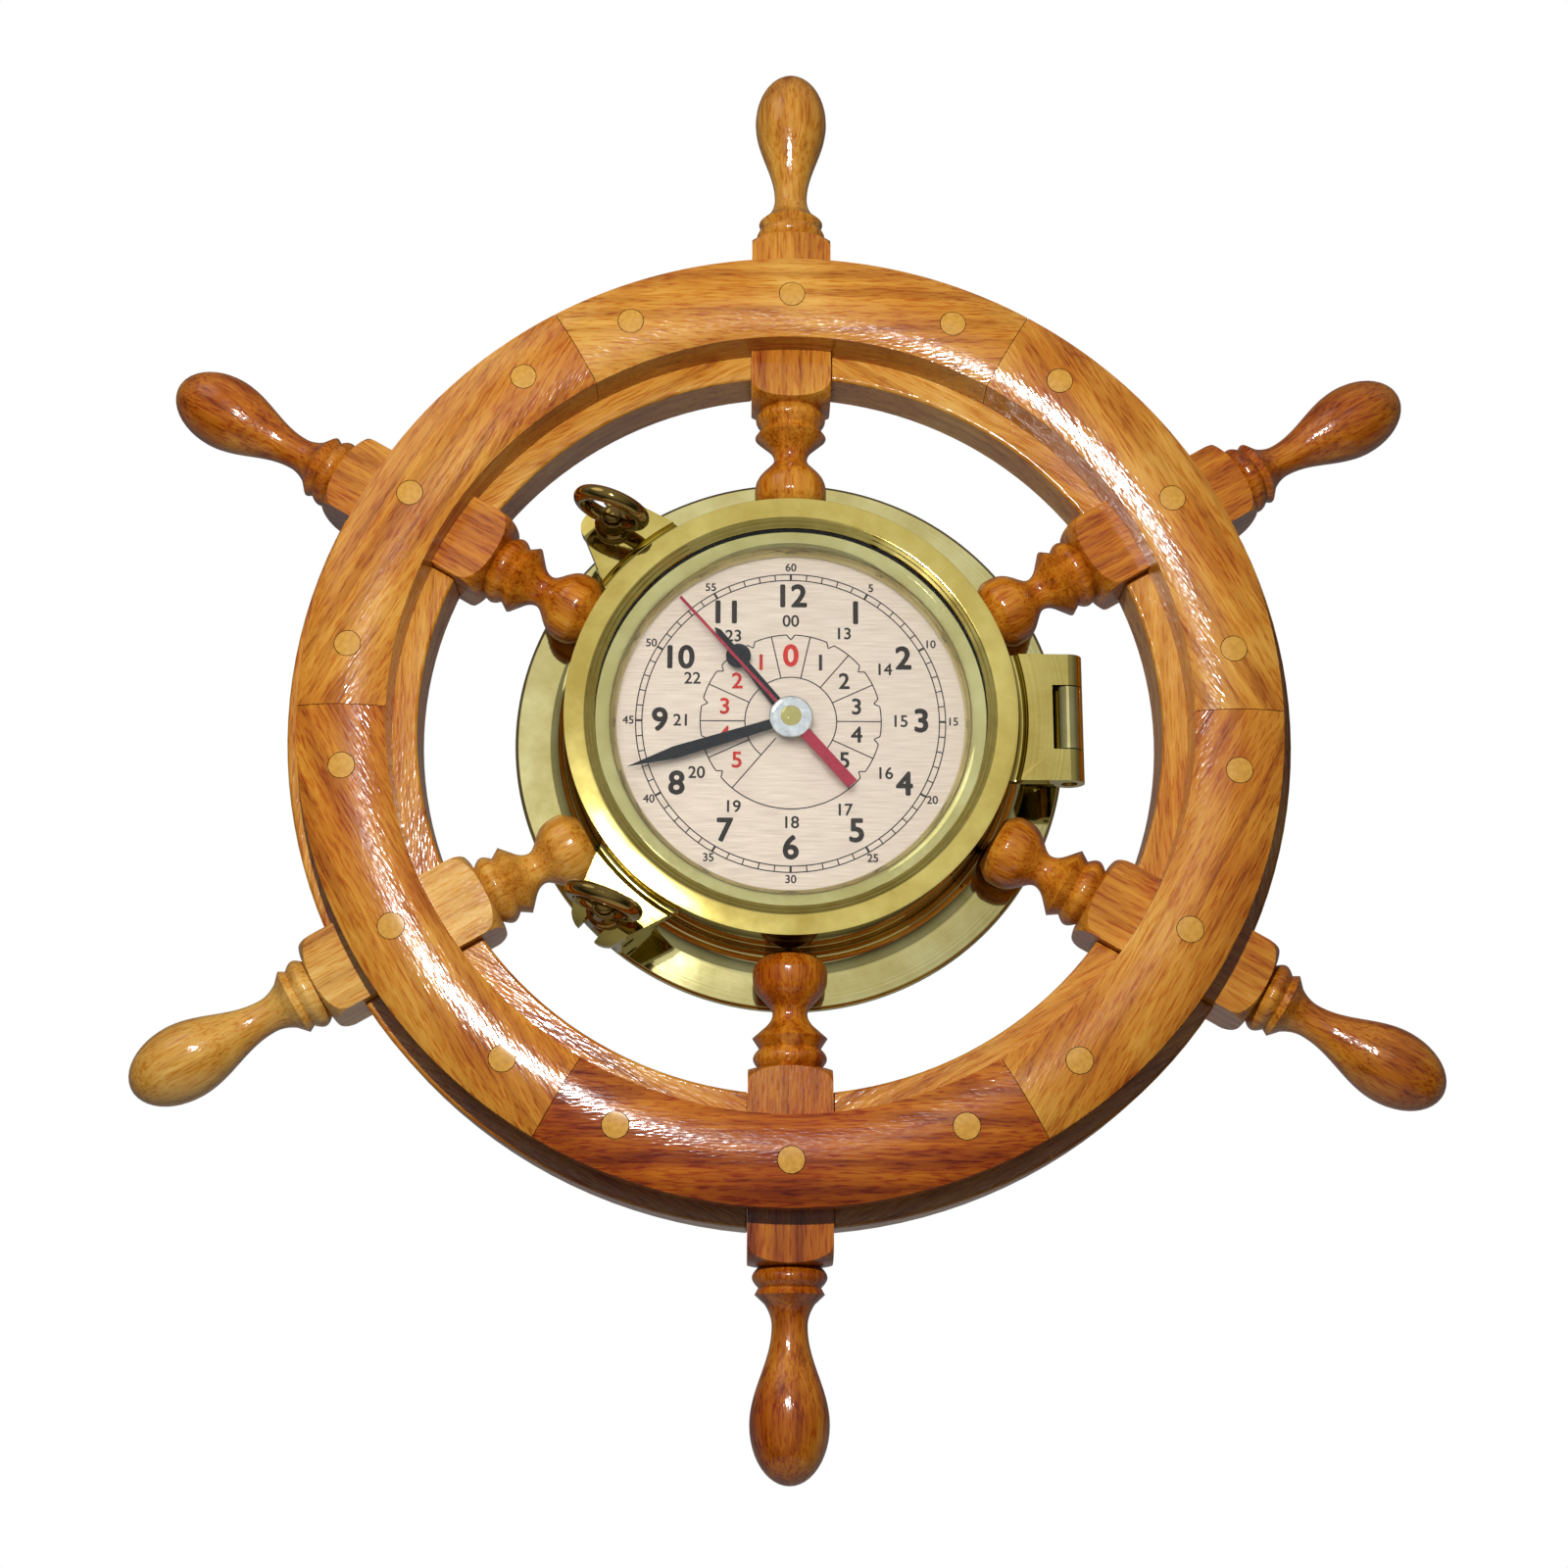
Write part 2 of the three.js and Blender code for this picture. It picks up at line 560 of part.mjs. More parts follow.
// The ring nut stands on its own axis, with its seat at the origin, until it is placed.
function makeRingNut() {
  const hub = joined(post(0, 0, NUT_BASE_R, 0, NUT_BASE_THICK, KNUCKLE_SIDES), [
    post(0, 0, NUT_HUB_R, 0, NUT_HUB_HEIGHT, KNUCKLE_SIDES),
  ]);
  const wire = new THREE.TorusGeometry(NUT_RING_R, NUT_WIRE_R, WIRE_SIDES, KNUCKLE_SIDES);
  const bore = post(0, 0, DOG_SHANK_R + FIT, -FIT, NUT_RING_HEIGHT);
  return hub.add(solidOf(wire.translate(0, -NUT_RING_HEIGHT, 0))).subtract(bore);
}

// Clock

function makeMovement() {
  const half = MOVEMENT_SIDE / 2;
  const straight = half - MOVEMENT_CORNER;
  const shape = new THREE.Shape();
  const corners = [[1, 1], [-1, 1], [-1, -1], [1, -1]];
  corners.forEach(([x, z], quarter) => {
    const start = (quarter * Math.PI) / 2;
    shape.absarc(x * straight, z * straight, MOVEMENT_CORNER, start, start + Math.PI / 2);
  });
  const bayLow = BATTERY_BAY_FOOT - half;
  const bayHalf = BATTERY_BAY_LENGTH / 2;
  const bayFloor = MOVEMENT_BACK + BATTERY_BAY_DEPTH;
  const bay = block(-bayHalf, bayHalf, bayLow, bayLow + BATTERY_BAY_WIDTH, 0, bayFloor);
  const root = MOVEMENT_FRONT - BUSH_ROOT;
  const shafts = [
    post(0, 0, BUSH_R, root, DIAL_FRONT + BUSH_OUT),
    post(0, 0, HOUR_TUBE_R, root, HOUR_BACK + HAND_THICK),
    post(0, 0, MINUTE_TUBE_R, root, MINUTE_BACK + HAND_THICK),
    post(0, 0, SECOND_ARBOR_R, root, SECOND_BACK + CAP_HEIGHT - CAP_ROOF - FIT),
  ];
  return joined(plate(shape, MOVEMENT_BACK, MOVEMENT_FRONT).subtract(bay), shafts);
}

// A flat hand with a boss round its own tube.
function makeHand(blade, tubeRadius, back) {
  const front = back + HAND_THICK;
  const boss = post(0, 0, tubeRadius + FIT + HAND_BOSS_WIDTH, back, front);
  return joined(boss, blade(back, front)).subtract(post(0, 0, tubeRadius + FIT, 0, FAR));
}

function hourBlade(back, front) {
  const shoulderZ = HOUR_LENGTH - HOUR_TIP_WIDTH;
  const stem = outline([
    [-HOUR_WIDTH / 2, 0],
    [HOUR_WIDTH / 2, 0],
    [HOUR_TIP_WIDTH / 2, shoulderZ],
    [0, HOUR_LENGTH],
    [-HOUR_TIP_WIDTH / 2, shoulderZ],
  ]);
  return [plate(stem, back, front), post(0, HOUR_BLOB_AT, HOUR_BLOB_R, back, front, KNUCKLE_SIDES)];
}

function minuteBlade(back, front) {
  const blade = outline([
    [-MINUTE_ROOT_WIDTH / 2, 0],
    [MINUTE_ROOT_WIDTH / 2, 0],
    [MINUTE_WIDTH / 2, MINUTE_SHOULDER],
    [0, MINUTE_LENGTH],
    [-MINUTE_WIDTH / 2, MINUTE_SHOULDER],
  ]);
  return [plate(blade, back, front)];
}

// The second hand: a needle with a broad tail under a domed cap that sits on the arbor.
function makeSecondHand() {
  const [back, front] = [SECOND_BACK, SECOND_BACK + CAP_HEIGHT];
  const dome = roundedEnd(back, front, CAP_R, LONG_CURVE).map(([height, radius]) => [radius, height]);
  const cap = turned([[0, back], [CAP_R, back], ...dome], KNUCKLE_SIDES);
  const needle = block(-SECOND_WIDTH / 2, SECOND_WIDTH / 2, 0, SECOND_LENGTH, back, back + HAND_THICK);
  const tailHalf = SECOND_TAIL_WIDTH / 2;
  const tail = block(-tailHalf, tailHalf, -SECOND_TAIL, 0, back, back + HAND_THICK);
  return joined(cap, [needle, tail]).subtract(post(0, 0, SECOND_ARBOR_R + FIT, 0, front - CAP_ROOF));
}

// Materials

function material(color, roughness, metalness) {
  return new THREE.MeshStandardMaterial({ color, roughness, metalness });
}

const VARNISHED_WOOD = material(0x9a5a22, 0.3, 0);
const PLUG_WOOD = material(0xc48a45, 0.35, 0);
const BRASS = material(0xcfa84e, 0.25, 1);
const GLASS = material(0xe8f2ee, 0.05, 0);
GLASS.transparent = true;
GLASS.opacity = 0.2;
const DIAL_METAL = material(0xd9bfa6, 0.4, 0.6);
const BLACK_PAINT = material(0x17171a, 0.5, 0);
const RED_PAINT = material(0xb3122b, 0.45, 0);
const STEEL = material(0xb8babd, 0.3, 1);
const BLACK_PLASTIC = material(0x1c1c1e, 0.6, 0);

// Assembly

const clock = new THREE.Group();

function place(parent, name, solid, look, clockwise = 0) {
  const mesh = new THREE.Mesh(geometryOf(solid), look);
  mesh.name = name;
  mesh.rotation.y = rad(clockwise);
  parent.add(mesh);
  return mesh;
}

const plugAngles = [-PLUG_SPREAD, 0, PLUG_SPREAD];
const frontRing = makeFrontRing();
const felloe = makeFelloe(frontRing);
const plugs = plugAngles.map((angle) => plugAt(angle, 0).intersect(frontRing));
const spoke = makeSpoke();
const rimSegment = makeRimSegment();
const flangeScrew = screwAt(0, 0);

spokeAngles.forEach((angle, i) => {
  const sector = new THREE.Group();
  sector.rotation.y = rad(angle);
  place(sector, `spoke_${i + 1}`, spoke, VARNISHED_WOOD);
  place(sector, `front_felloe_${i + 1}`, felloe, VARNISHED_WOOD);
  place(sector, `rim_segment_${i + 1}`, rimSegment, VARNISHED_WOOD, SECTOR / 2);
  place(sector, `rim_plug_${i + 1}_left`, plugs[0], PLUG_WOOD);
  place(sector, `rim_plug_${i + 1}_middle`, plugs[1], PLUG_WOOD);
  place(sector, `rim_plug_${i + 1}_right`, plugs[2], PLUG_WOOD);
  place(sector, `flange_screw_${i + 1}`, flangeScrew, STEEL);
  clock.add(sector);
});

const pinHeight = HINGE_HEIGHT - 2 * HINGE_PIN_RECESS;
const retainerFront = GLASS_BACK - FIT;
const retainerBack = retainerFront - RETAINER_THICK;
place(clock, "porthole_body", makeBody(), BRASS);
place(clock, "door_ring", makeDoor(), BRASS);
place(clock, "glass", post(0, 0, GLASS_R, GLASS_BACK, GLASS_FRONT, BRASS_SIDES), GLASS);
place(clock, "glass_retainer", ring(RETAINER_R, GLASS_R, retainerBack, retainerFront), BRASS);
place(clock, "hinge_pin", uprightRod(HINGE_X, HINGE_FRONT, HINGE_PIN_R, pinHeight), BRASS);

Object.entries(DOG_ANGLES).forEach(([side, angle]) => {
  const dog = new THREE.Group();
  dog.rotation.y = rad(angle);
  place(dog, `${side}_dog_bolt`, makeDogBolt(), BRASS);
  place(dog, `${side}_dog_pin`, crossRod(DOG_R, DOG_PIVOT, DOG_PIN_R, LUG_TIP - 2 * DOG_PIN_RECESS), BRASS);
  const nut = place(dog, `${side}_ring_nut`, makeRingNut(), BRASS, NUT_TURN - angle);
  nut.position.set(0, -NUT_SEAT, DOG_R);
  clock.add(dog);
});

const ringR = DIAL_R - DIAL_RING_WIDTH;
const ringFront = DIAL_BACK - FIT;
const nutBack = DIAL_FRONT + FIT;
const nutFront = nutBack + DIAL_NUT_THICK;
place(clock, "dial", ring(BUSH_R + FIT, DIAL_R, DIAL_BACK, DIAL_FRONT), DIAL_METAL);
place(clock, "dial_ring", ring(ringR, DIAL_R, ringFront - DIAL_RING_THICK, ringFront), BRASS);
place(clock, "movement", makeMovement(), BLACK_PLASTIC);
place(clock, "dial_nut", ring(BUSH_R + FIT, DIAL_NUT_R, nutBack, nutFront, ROD_SIDES), BRASS);
place(clock, "hour_hand", makeHand(hourBlade, HOUR_TUBE_R, HOUR_BACK), BLACK_PAINT, HOUR_ANGLE);
place(clock, "minute_hand", makeHand(minuteBlade, MINUTE_TUBE_R, MINUTE_BACK), BLACK_PAINT, MINUTE_ANGLE);
place(clock, "second_hand", makeSecondHand(), RED_PAINT, SECOND_ANGLE);

export default clock;
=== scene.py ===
"""The looks of a ship's wheel clock: a varnished wheel round a brass porthole with a dial behind glass."""

from math import asin, cos, degrees, pi, radians, sin, sqrt

import bpy
import numpy as np
from bpy.props import FloatProperty, FloatVectorProperty, PointerProperty
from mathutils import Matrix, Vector


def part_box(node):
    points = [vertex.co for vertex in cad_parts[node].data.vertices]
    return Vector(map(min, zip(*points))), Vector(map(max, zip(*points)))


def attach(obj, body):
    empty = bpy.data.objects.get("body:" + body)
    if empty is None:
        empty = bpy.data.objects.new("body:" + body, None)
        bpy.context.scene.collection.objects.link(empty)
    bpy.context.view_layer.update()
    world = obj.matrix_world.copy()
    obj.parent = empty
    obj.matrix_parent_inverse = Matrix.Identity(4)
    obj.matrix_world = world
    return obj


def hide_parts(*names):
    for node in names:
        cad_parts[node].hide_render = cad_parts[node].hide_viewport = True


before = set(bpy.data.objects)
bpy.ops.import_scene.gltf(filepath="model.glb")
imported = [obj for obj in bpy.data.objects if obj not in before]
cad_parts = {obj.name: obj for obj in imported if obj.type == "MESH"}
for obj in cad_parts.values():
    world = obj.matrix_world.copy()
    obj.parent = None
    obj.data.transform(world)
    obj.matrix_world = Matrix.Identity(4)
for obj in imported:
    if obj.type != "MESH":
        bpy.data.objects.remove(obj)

bl_info = {
    "name": "Ship wheel clock",
    "version": (1, 0, 0),
    "blender": (4, 5, 0),
    "location": "View3D > Sidebar > Ship clock",
    "description": "Models the wheel, the porthole and the clock piece by piece",
    "category": "Mesh",
}

# In metres: one millimetre, and how close vertices lie that are welded.
MM = 0.001
WELD = 1e-6

# Lengths below are millimetres unless a comment says otherwise. "Front" is a distance from the wall,
# along -Y. A clock angle runs clockwise from twelve, in degrees.
FULL_TURN = 2 * pi
ORIGIN = Vector()
ALONG_X = Vector((1, 0, 0))
ALONG_Y = Vector((0, 1, 0))
ALONG_Z = Vector((0, 0, 1))
FIT = 0.3
SEAM = 0.02
SPOKES = 6
SECTOR = 360 / SPOKES
ROD_STEPS = 48
PORTHOLE_STEPS = 180


def near_side(node):
    """The distance from the wall of a CAD node's front."""
    return -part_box(node)[0].y / MM


def wall_side(node):
    """The distance from the wall of a CAD node's back."""
    return -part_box(node)[1].y / MM


def middle(node):
    """The middle of a CAD node's box."""
    low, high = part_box(node)
    return (low + high) / 2 / MM


# Wheel rim
RIM_INNER_R = 154.5
RIM_OUTER_R = 208
RIM_BACK = wall_side("rim_segment_1")
RIM_FRONT = near_side("rim_segment_1")
RIM_ROUND = 1.5
RING_MIDDLE_R = 182.9
RING_WIDTH = 36.2
RING_BACK = wall_side("front_felloe_1")
RING_FRONT = near_side("front_felloe_1")
DOME_RISE = 3.6
PLUG_D = 10.5
PLUG_DEPTH = 9
PLUG_ANGLES = {"left": -21.9, "middle": 0, "right": 21.9}

# Spokes
SPOKE_AXIS = -middle("spoke_1").y
SPOKE_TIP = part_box("spoke_1")[1].z / MM
BLOCK = (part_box("spoke_1")[1].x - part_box("spoke_1")[0].x) / MM
BLOCK_START = RIM_INNER_R - 11.5
BLOCK_END = RIM_OUTER_R + 13.5
SHOULDER = 9
GROOVE_D = 25
BEAD_D = 30
BEAD_LENGTH = 8.2
INNER_COLLAR = {"d": 30.5, "peak": 4.2, "length": 8, "end_d": 22, "neck_run": 6.3}
OUTER_COLLAR = {"d": 28, "peak": 2.6, "length": 6.3, "end_d": 20, "neck_run": 8.5}
NECK_D = 14.2
HANDLE_D = 31.5
HANDLE_TIP = 23
BULB_D = 30.6
BULB_END_D = 21
BULB_STANDOFF = 3.5
BULB_CROWN = 7
BULB_FULLNESS = 1.7

# Each plank comes from another part of the tree (metres), and some drink more stain, which makes them deeper
# and redder; the tones go round from twelve o'clock.
PLANK_SHIFT = (0.83, 0.217, 0.131)
SPOKE_TONES = (1.1, 1.3, 1.15, 1.4, 0.75, 1.3)
SEGMENT_TONES = (0.95, 1.0, 1.0, 1.1, 1.0, 0.95)
FELLOE_TONES = (1.0, 1.05, 1.1, 1.6, 1.15, 1.05)

# Porthole
BODY_R = 93
BODY_WALL = 6
BODY_COVE = 9
BODY_DEPTH = 34.6
BORE_R = BODY_R - BODY_WALL
FLANGE_R = 116.5
FLANGE_THICK = 4
FLANGE_EDGE = 1.2
DIAL_OPENING_R = 72
DIAL_SEAT = near_side("dial") + FIT
DIAL_LAND = 1
FLARE_WIDTH = 6.8
SPIGOT_R = 82.4
SPIGOT_FRONT = near_side("porthole_body")
POCKET_R = 86.3
GLASS_R = 86
LIP_R = 80.5
REEDS = 3
REED_WIDTH = 1.6
REED_DROP = 0.7
REED_TREAD = (1.3, 0.3)
FACE_EDGE = 1
DOOR_BACK = 35
DOOR_FRONT = near_side("door_ring")
ARM_SETBACK = 1
EAR_FRONT = 41.6
GROOVE_R = 2.5
HINGE_X = middle("hinge_pin").x
HINGE_FRONT = -middle("hinge_pin").y
HINGE_AT = Vector((HINGE_X, -HINGE_FRONT, 0))
HINGE_HEIGHT = 54
KNUCKLE_R = 6.3
KNUCKLE_HEIGHT = 26.4
KNUCKLE_GAP = 0.5
HINGE_PIN_R = 3

# Dogs; a pivot's place is that of a dog at twelve o'clock.
DOG_ANGLES = {"upper": 318, "lower": 222}
DOG_R = sqrt(middle("upper_dog_pin").x ** 2 + middle("upper_dog_pin").z ** 2)
DOG_PIVOT = -middle("upper_dog_pin").y
DOG_PIVOT_AT = Vector((0, -DOG_PIVOT, DOG_R))
DOG_SLOT = 9
DOG_EYE_R = 6.5
DOG_EYE_ROOM = 1
DOG_PIN_R = 2.5
DOG_PIN_LENGTH = 19.8
DOG_SHANK_R = 3.7
DOG_THREAD_PITCH = 1.5
DOG_THREAD_DEPTH = 0.5
EAR_ROOT = 46
EAR_TIP = 25
EAR_REACH = 12
EAR_CORNER = 8
LUG_ROOT = 30
LUG_TIP = 21
LUG_REACH = 5.2
LUG_CORNER = 3
NUT_SEAT = wall_side("upper_ring_nut")
NUT_TURN = 20
NUT_BASE_R = 8
NUT_BASE_THICK = 3.5
NUT_BASE_ROUND = 1.2
NUT_HUB_R = 6.2
NUT_HUB_HEIGHT = 10
NUT_RING_R = 13.2
NUT_WIRE_R = 3.3
NUT_RING_HEIGHT = 19.5
NUT_CASTING_GRAIN = 0.45

# Clock
HOURS = 12
MINUTES = 60
DIAL_R = 86.7
DIAL_FRONT = near_side("dial")
DIAL_BACK = wall_side("dial")
DIAL_EDGE = 0.15
BUSH_R = 4.3
HAND_THICK = 0.8
HAND_EDGE = 0.15
HOUR_ANGLE = 321.5
HOUR_LENGTH = 51
HOUR_WIDTH = 5
HOUR_TIP_WIDTH = 2.6
HOUR_BLOB_AT = 35
HOUR_BLOB_R = 5.2
HOUR_BOSS_R = 5.9
HOUR_TUBE_R = 3.3
MINUTE_ANGLE = 252.6
MINUTE_LENGTH = 70.2
MINUTE_ROOT_WIDTH = 3.8
MINUTE_WIDTH = 5.2
MINUTE_SHOULDER = 50
MINUTE_BOSS_R = 5.1
MINUTE_TUBE_R = 2.5
SECOND_ANGLE = 318.4
SECOND_LENGTH = 69.5
SECOND_WIDTH = 1.2
SECOND_TAIL = 38
SECOND_TAIL_WIDTH = 4.8
SECOND_EDGE = 0.1
CAP_R = 9
CAP_STUD_R = 4.6
CAP_STUD_RISE = 0.5
CAP_STUD_SINK = 0.6

# Dial print
PRINT_LIFT = 0.06
PRINT_FRONT = DIAL_FRONT + PRINT_LIFT
LINE = 0.5
BOLD_LINE = 0.95
ARC_STEP_DEGREES = 2
ARC_LEAST_STEPS = 4
TRACK_R = (61.6, 64.2)
MINUTE_R = 67.2
MINUTE_SIZE = 3.5
MINUTE_WEIGHT = 0.1
HOUR_R = 54.2
HOUR_WEIGHT = 0.42
# The second round of hours stands closer beside an hour than under one, and clear of the wide 10 and 11.
DAY_HOUR_R = {"side": 45.2, "upright": 43.4}
ASIDE = {7: 3, 10: -6, 11: -3}
DAY_HOUR_SIZE = 5.2
DAY_HOUR_WEIGHT = 0.12
SECTOR_R = 37.5
SECTOR_INNER_R = 19
SECTOR_ROOT_R = 9.5
SECTOR_EDGES = (12.5, 40, 65, 90, 115, 140)
NOTCH_DEPTH = 2.2
NOTCH_ANGLE = 2.6
ORDER_R = 28
ORDER_SIZE = 7
ORDER_WEIGHT = 0.2
TOP_ORDER_SIZE = 9.5
TOP_ORDER_WEIGHT = 0.4
# A figure's height as a share of the type's size, and how a bold one is printed.
CAPITAL_SHARE = 0.73
BOLD_PRINTS = 8
LAYER = 0.002

# Stage, in metres and degrees. An edge is where a light starts and ends along a direction, from -1 to 1.
SKY_LEVEL = 0.4
GROUND_LEVEL = 0.04
SKY_EDGE = (-0.1, 1.0)
WINDOW_WAY = (-0.03, -0.955, 0.292)
WINDOW_LEVEL = 1.0
WINDOW_EDGE = (0.972, 0.994)
FRONT_LEVEL = 0.35
FRONT_EDGE = (0.25, 0.9)
BACKDROP_LEVEL = 0.12
LOW_BACKDROP_LEVEL = 0.25
BACKDROP_EDGE = (-0.15, 0.05)
BEHIND_LEVEL = 0.04
BEHIND_EDGE = (-0.2, 0.2)
BACK_GLOW = 0.75
BACK_GLOW_EDGE = (0.5, 0.85)
FLOOR_GLOW = {"Is Camera Ray": 0.68, "Is Glossy Ray": 0.15}
FLOOR_LEVEL = -1.4
FLOOR_R = 1.2
KEY_LAMP = {"place": (-0.094, -0.85, 0.122), "size": 0.02}
UPPER_LAMP = {"place": (-0.8, -0.9, 1.0), "size": 0.9}
CAMERA_PLACE = (-0.0171, -1.0137, -0.2881)
CAMERA_TILT = (104.91, -0.81, 0.31)
CAMERA_LENS_MM = 56.68
CAMERA_SENSOR_MM = 36


# Selecting and copying


def select(*pieces):
    """Selects these pieces alone; the first becomes the active one."""
    bpy.ops.object.select_all(action="DESELECT")
    for piece in pieces:
        piece.select_set(True)
    bpy.context.view_layer.objects.active = pieces[0]


def copy_of(piece, name, clockwise, place=ORIGIN):
    """A copy with its own mesh, turned about the clock's axis and moved to a place."""
    select(piece)
    bpy.ops.object.duplicate(linked=False)
    copy = bpy.context.object
    copy.name = name
    copy.rotation_euler = (0, radians(clockwise), 0)
    copy.location = place * MM
    bpy.ops.object.transform_apply(location=True, rotation=True, scale=True)
    return copy


def joined(first, *others):
    """One piece made of several."""
    select(first, *others)
    bpy.ops.object.join()
    return first


def delete(piece):
    """Takes a helper away."""
    select(piece)
    bpy.ops.object.delete()


def modify(piece, kind, **settings):
    """Applies one modifier."""
    select(piece)
    modifier = piece.modifiers.new(kind.lower(), kind)
    for key, value in settings.items():
        setattr(modifier, key, value)
    bpy.ops.object.modifier_apply(modifier=modifier.name)


# Modelling


def on_clock(radius, angle, front):
    """A point at a radius, a clock angle and a distance from the wall."""
    return Vector((radius * sin(radians(angle)), -front, radius * cos(radians(angle))))


def weld():
    """Merges doubled vertices of the mesh in edit mode, and leaves all of it selected."""
    bpy.ops.mesh.select_all(action="SELECT")
    bpy.ops.mesh.remove_doubles(threshold=WELD)


def line_through(name, points):
    """One vertex extruded from point to point; it is left in edit mode."""
    bpy.ops.object.select_all(action="DESELECT")
    bpy.ops.mesh.primitive_plane_add(size=MM, location=(0, 0, 0))
    piece = bpy.context.object
    piece.name = name
    bpy.ops.object.mode_set(mode="EDIT")
    bpy.ops.mesh.select_mode(type="VERT")
    bpy.ops.mesh.select_all(action="SELECT")
    bpy.ops.mesh.merge(type="CENTER")
    bpy.ops.transform.translate(value=points[0] * MM)
    for start, end in zip(points, points[1:]):
        bpy.ops.mesh.extrude_region_move(TRANSFORM_OT_translate={"value": (end - start) * MM})
    weld()
    return piece


def closed_up():
    """Welds and turns outwards the mesh in edit mode, and leaves edit mode."""
    weld()
    bpy.ops.mesh.normals_make_consistent(inside=False)
    bpy.ops.object.mode_set(mode="OBJECT")


def spun(name, points, steps, axis=ALONG_Y, centre=ORIGIN, turn=FULL_TURN, capped=False):
    """A line turned about an axis through a centre; a part turn is capped at both ends if it is a solid.

    The spin operator counts its angle the other way round the axis.
    """
    piece = line_through(name, points)
    bpy.ops.mesh.spin(steps=steps, angle=-turn, center=centre * MM, axis=axis)
    weld()
    if capped:
        bpy.ops.mesh.fill_holes(sides=0)
    closed_up()
    return piece


def turned(name, outline, steps, closed=True):
    """(radius, front) pairs turned about the clock's axis."""
    points = [Vector((radius, -front, 0)) for radius, front in outline]
    return spun(name, points + points[:1] if closed else points, steps)


def post(name, place, radius, back, front, steps=ROD_STEPS):
    """A round post that stands on the wall at a place."""
    outline = [(0, back), (radius, back), (radius, front), (0, front)]
    points = [Vector((place.x + reach, -height, place.z)) for reach, height in outline]
    return spun(name, points, steps, centre=Vector((place.x, 0, place.z)))


def plate(name, corners, back, front):
    """An outline in X and Z, raised between two distances from the wall."""
    points = [Vector((x, -back, z)) for x, z in corners]
    piece = line_through(name, points + points[:1])
    bpy.ops.mesh.edge_face_add()
    bpy.ops.mesh.extrude_region_move(TRANSFORM_OT_translate={"value": (0, (back - front) * MM, 0)})
    closed_up()
    return piece


def box(name, x0, x1, z0, z1, back, front):
    """A plain block."""
    return plate(name, [(x0, z0), (x1, z0), (x1, z1), (x0, z1)], back, front)


def cross_rod(name, place, radius, length, along, steps=ROD_STEPS):
    """A round rod with its middle at a place, along X or Z."""
    outline = [(0, -0.5), (radius, -0.5), (radius, 0.5), (0, 0.5)]
    points = [place + ALONG_Y * reach + along * length * share for reach, share in outline]
    return spun(name, points, steps, axis=along, centre=place)


def carve(piece, tool, operation="DIFFERENCE"):
    """Cuts, keeps the shared part or fuses, with a helper that is then taken away."""
    modify(piece, "BOOLEAN", operation=operation, object=tool, solver="EXACT")
    delete(tool)


def ease_edges(piece, width, segments=2, sharper_than=40):
    """Rounds the sharp edges."""
    limit = {"limit_method": "ANGLE", "angle_limit": radians(sharper_than)}
    modify(piece, "BEVEL", width=width * MM, segments=segments, **limit)


def finished(piece, body, slot, look, *nodes, smooth_below=32):
    """Shades a piece, gives it its material and hangs it on the frame in place of its CAD nodes."""
    select(piece)
    bpy.ops.object.shade_smooth_by_angle(angle=radians(smooth_below))
    modify(piece, "WEIGHTED_NORMAL", keep_sharp=True)
    piece.data.name = piece.name
    piece.data.materials.clear()
    piece.data.materials.append(look)
    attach(piece, body)
    if nodes:
        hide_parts(*nodes)


def mark_grain(piece, along, across, number, tone):
    """Stores each vertex's place in its plank, along, across and through the grain, and its stain's depth."""
    mesh = piece.data
    count = len(mesh.vertices)
    places = np.empty(count * 3)
    mesh.vertices.foreach_get("co", places)
    axes = np.array([along, across, along.cross(across)])
    planks = places.reshape(count, 3) @ axes.T + np.array(PLANK_SHIFT) * number
    grain = mesh.attributes.get("grain") or mesh.attributes.new("grain", "FLOAT_VECTOR", "POINT")
    grain.data.foreach_set("vector", planks.astype(np.float32).ravel())
    stain = mesh.attributes.get("tone") or mesh.attributes.new("tone", "FLOAT", "POINT")
    stain.data.foreach_set("value", np.full(count, tone, np.float32))


def six_planks(context, pattern, name, node, along, across, tones, first_plank=0, start=0):
    """Six copies round the wheel, each cut from another plank, in place of their CAD nodes."""
    look = material("varnished_acacia", varnished_wood, wheel=context.scene.wheel_looks)
    for number, tone in enumerate(tones):
        mark_grain(pattern, along, across, first_plank + number, tone)
        piece = copy_of(pattern, f"{name}_{number + 1}", (number + start) * SECTOR)
        finished(piece, "wheel", "varnished_wood", look, f"{node}_{number + 1}")
    delete(pattern)


# Outlines


def shares(count):
    """Even shares from 0 to 1."""
    return [step / count for step in range(count + 1)]


def soft_s(t):
    """Leaves one radius and reaches the next without a corner."""
    return (1 - cos(pi * t)) / 2


def bulb_fall(t):
    """A soft S that stays near its start for longer."""
    return soft_s(t**BULB_FULLNESS)


def crown(t):
    """A round shoulder up to a crown."""
    return sin(pi * t / 2)


def hollow(t):
    """Leaves a neck level and flares to a collar."""
    return t * t


def bead(t):
    """Half round: out and back."""
    return sin(pi * t)


def stretch(form, start, end, start_radius, end_radius, count):
    """A stretch of turning, as (along, radius); its form says how far the radius has come at each share."""
    length, rise = end - start, end_radius - start_radius
    return [(start + length * t, start_radius + rise * form(t)) for t in shares(count)]


def rounded_end(start, end, radius, count):
    """A round end that closes on the axis, as (along, radius)."""
    quarter = [t * pi / 2 for t in shares(count)]
    return [(start + (end - start) * sin(a), radius * cos(a)) for a in quarter[:-1]] + [(end, 0)]


def swapped(points):
    """(along, radius) points as (radius, front)."""
    return [(radius, along) for along, radius in points]


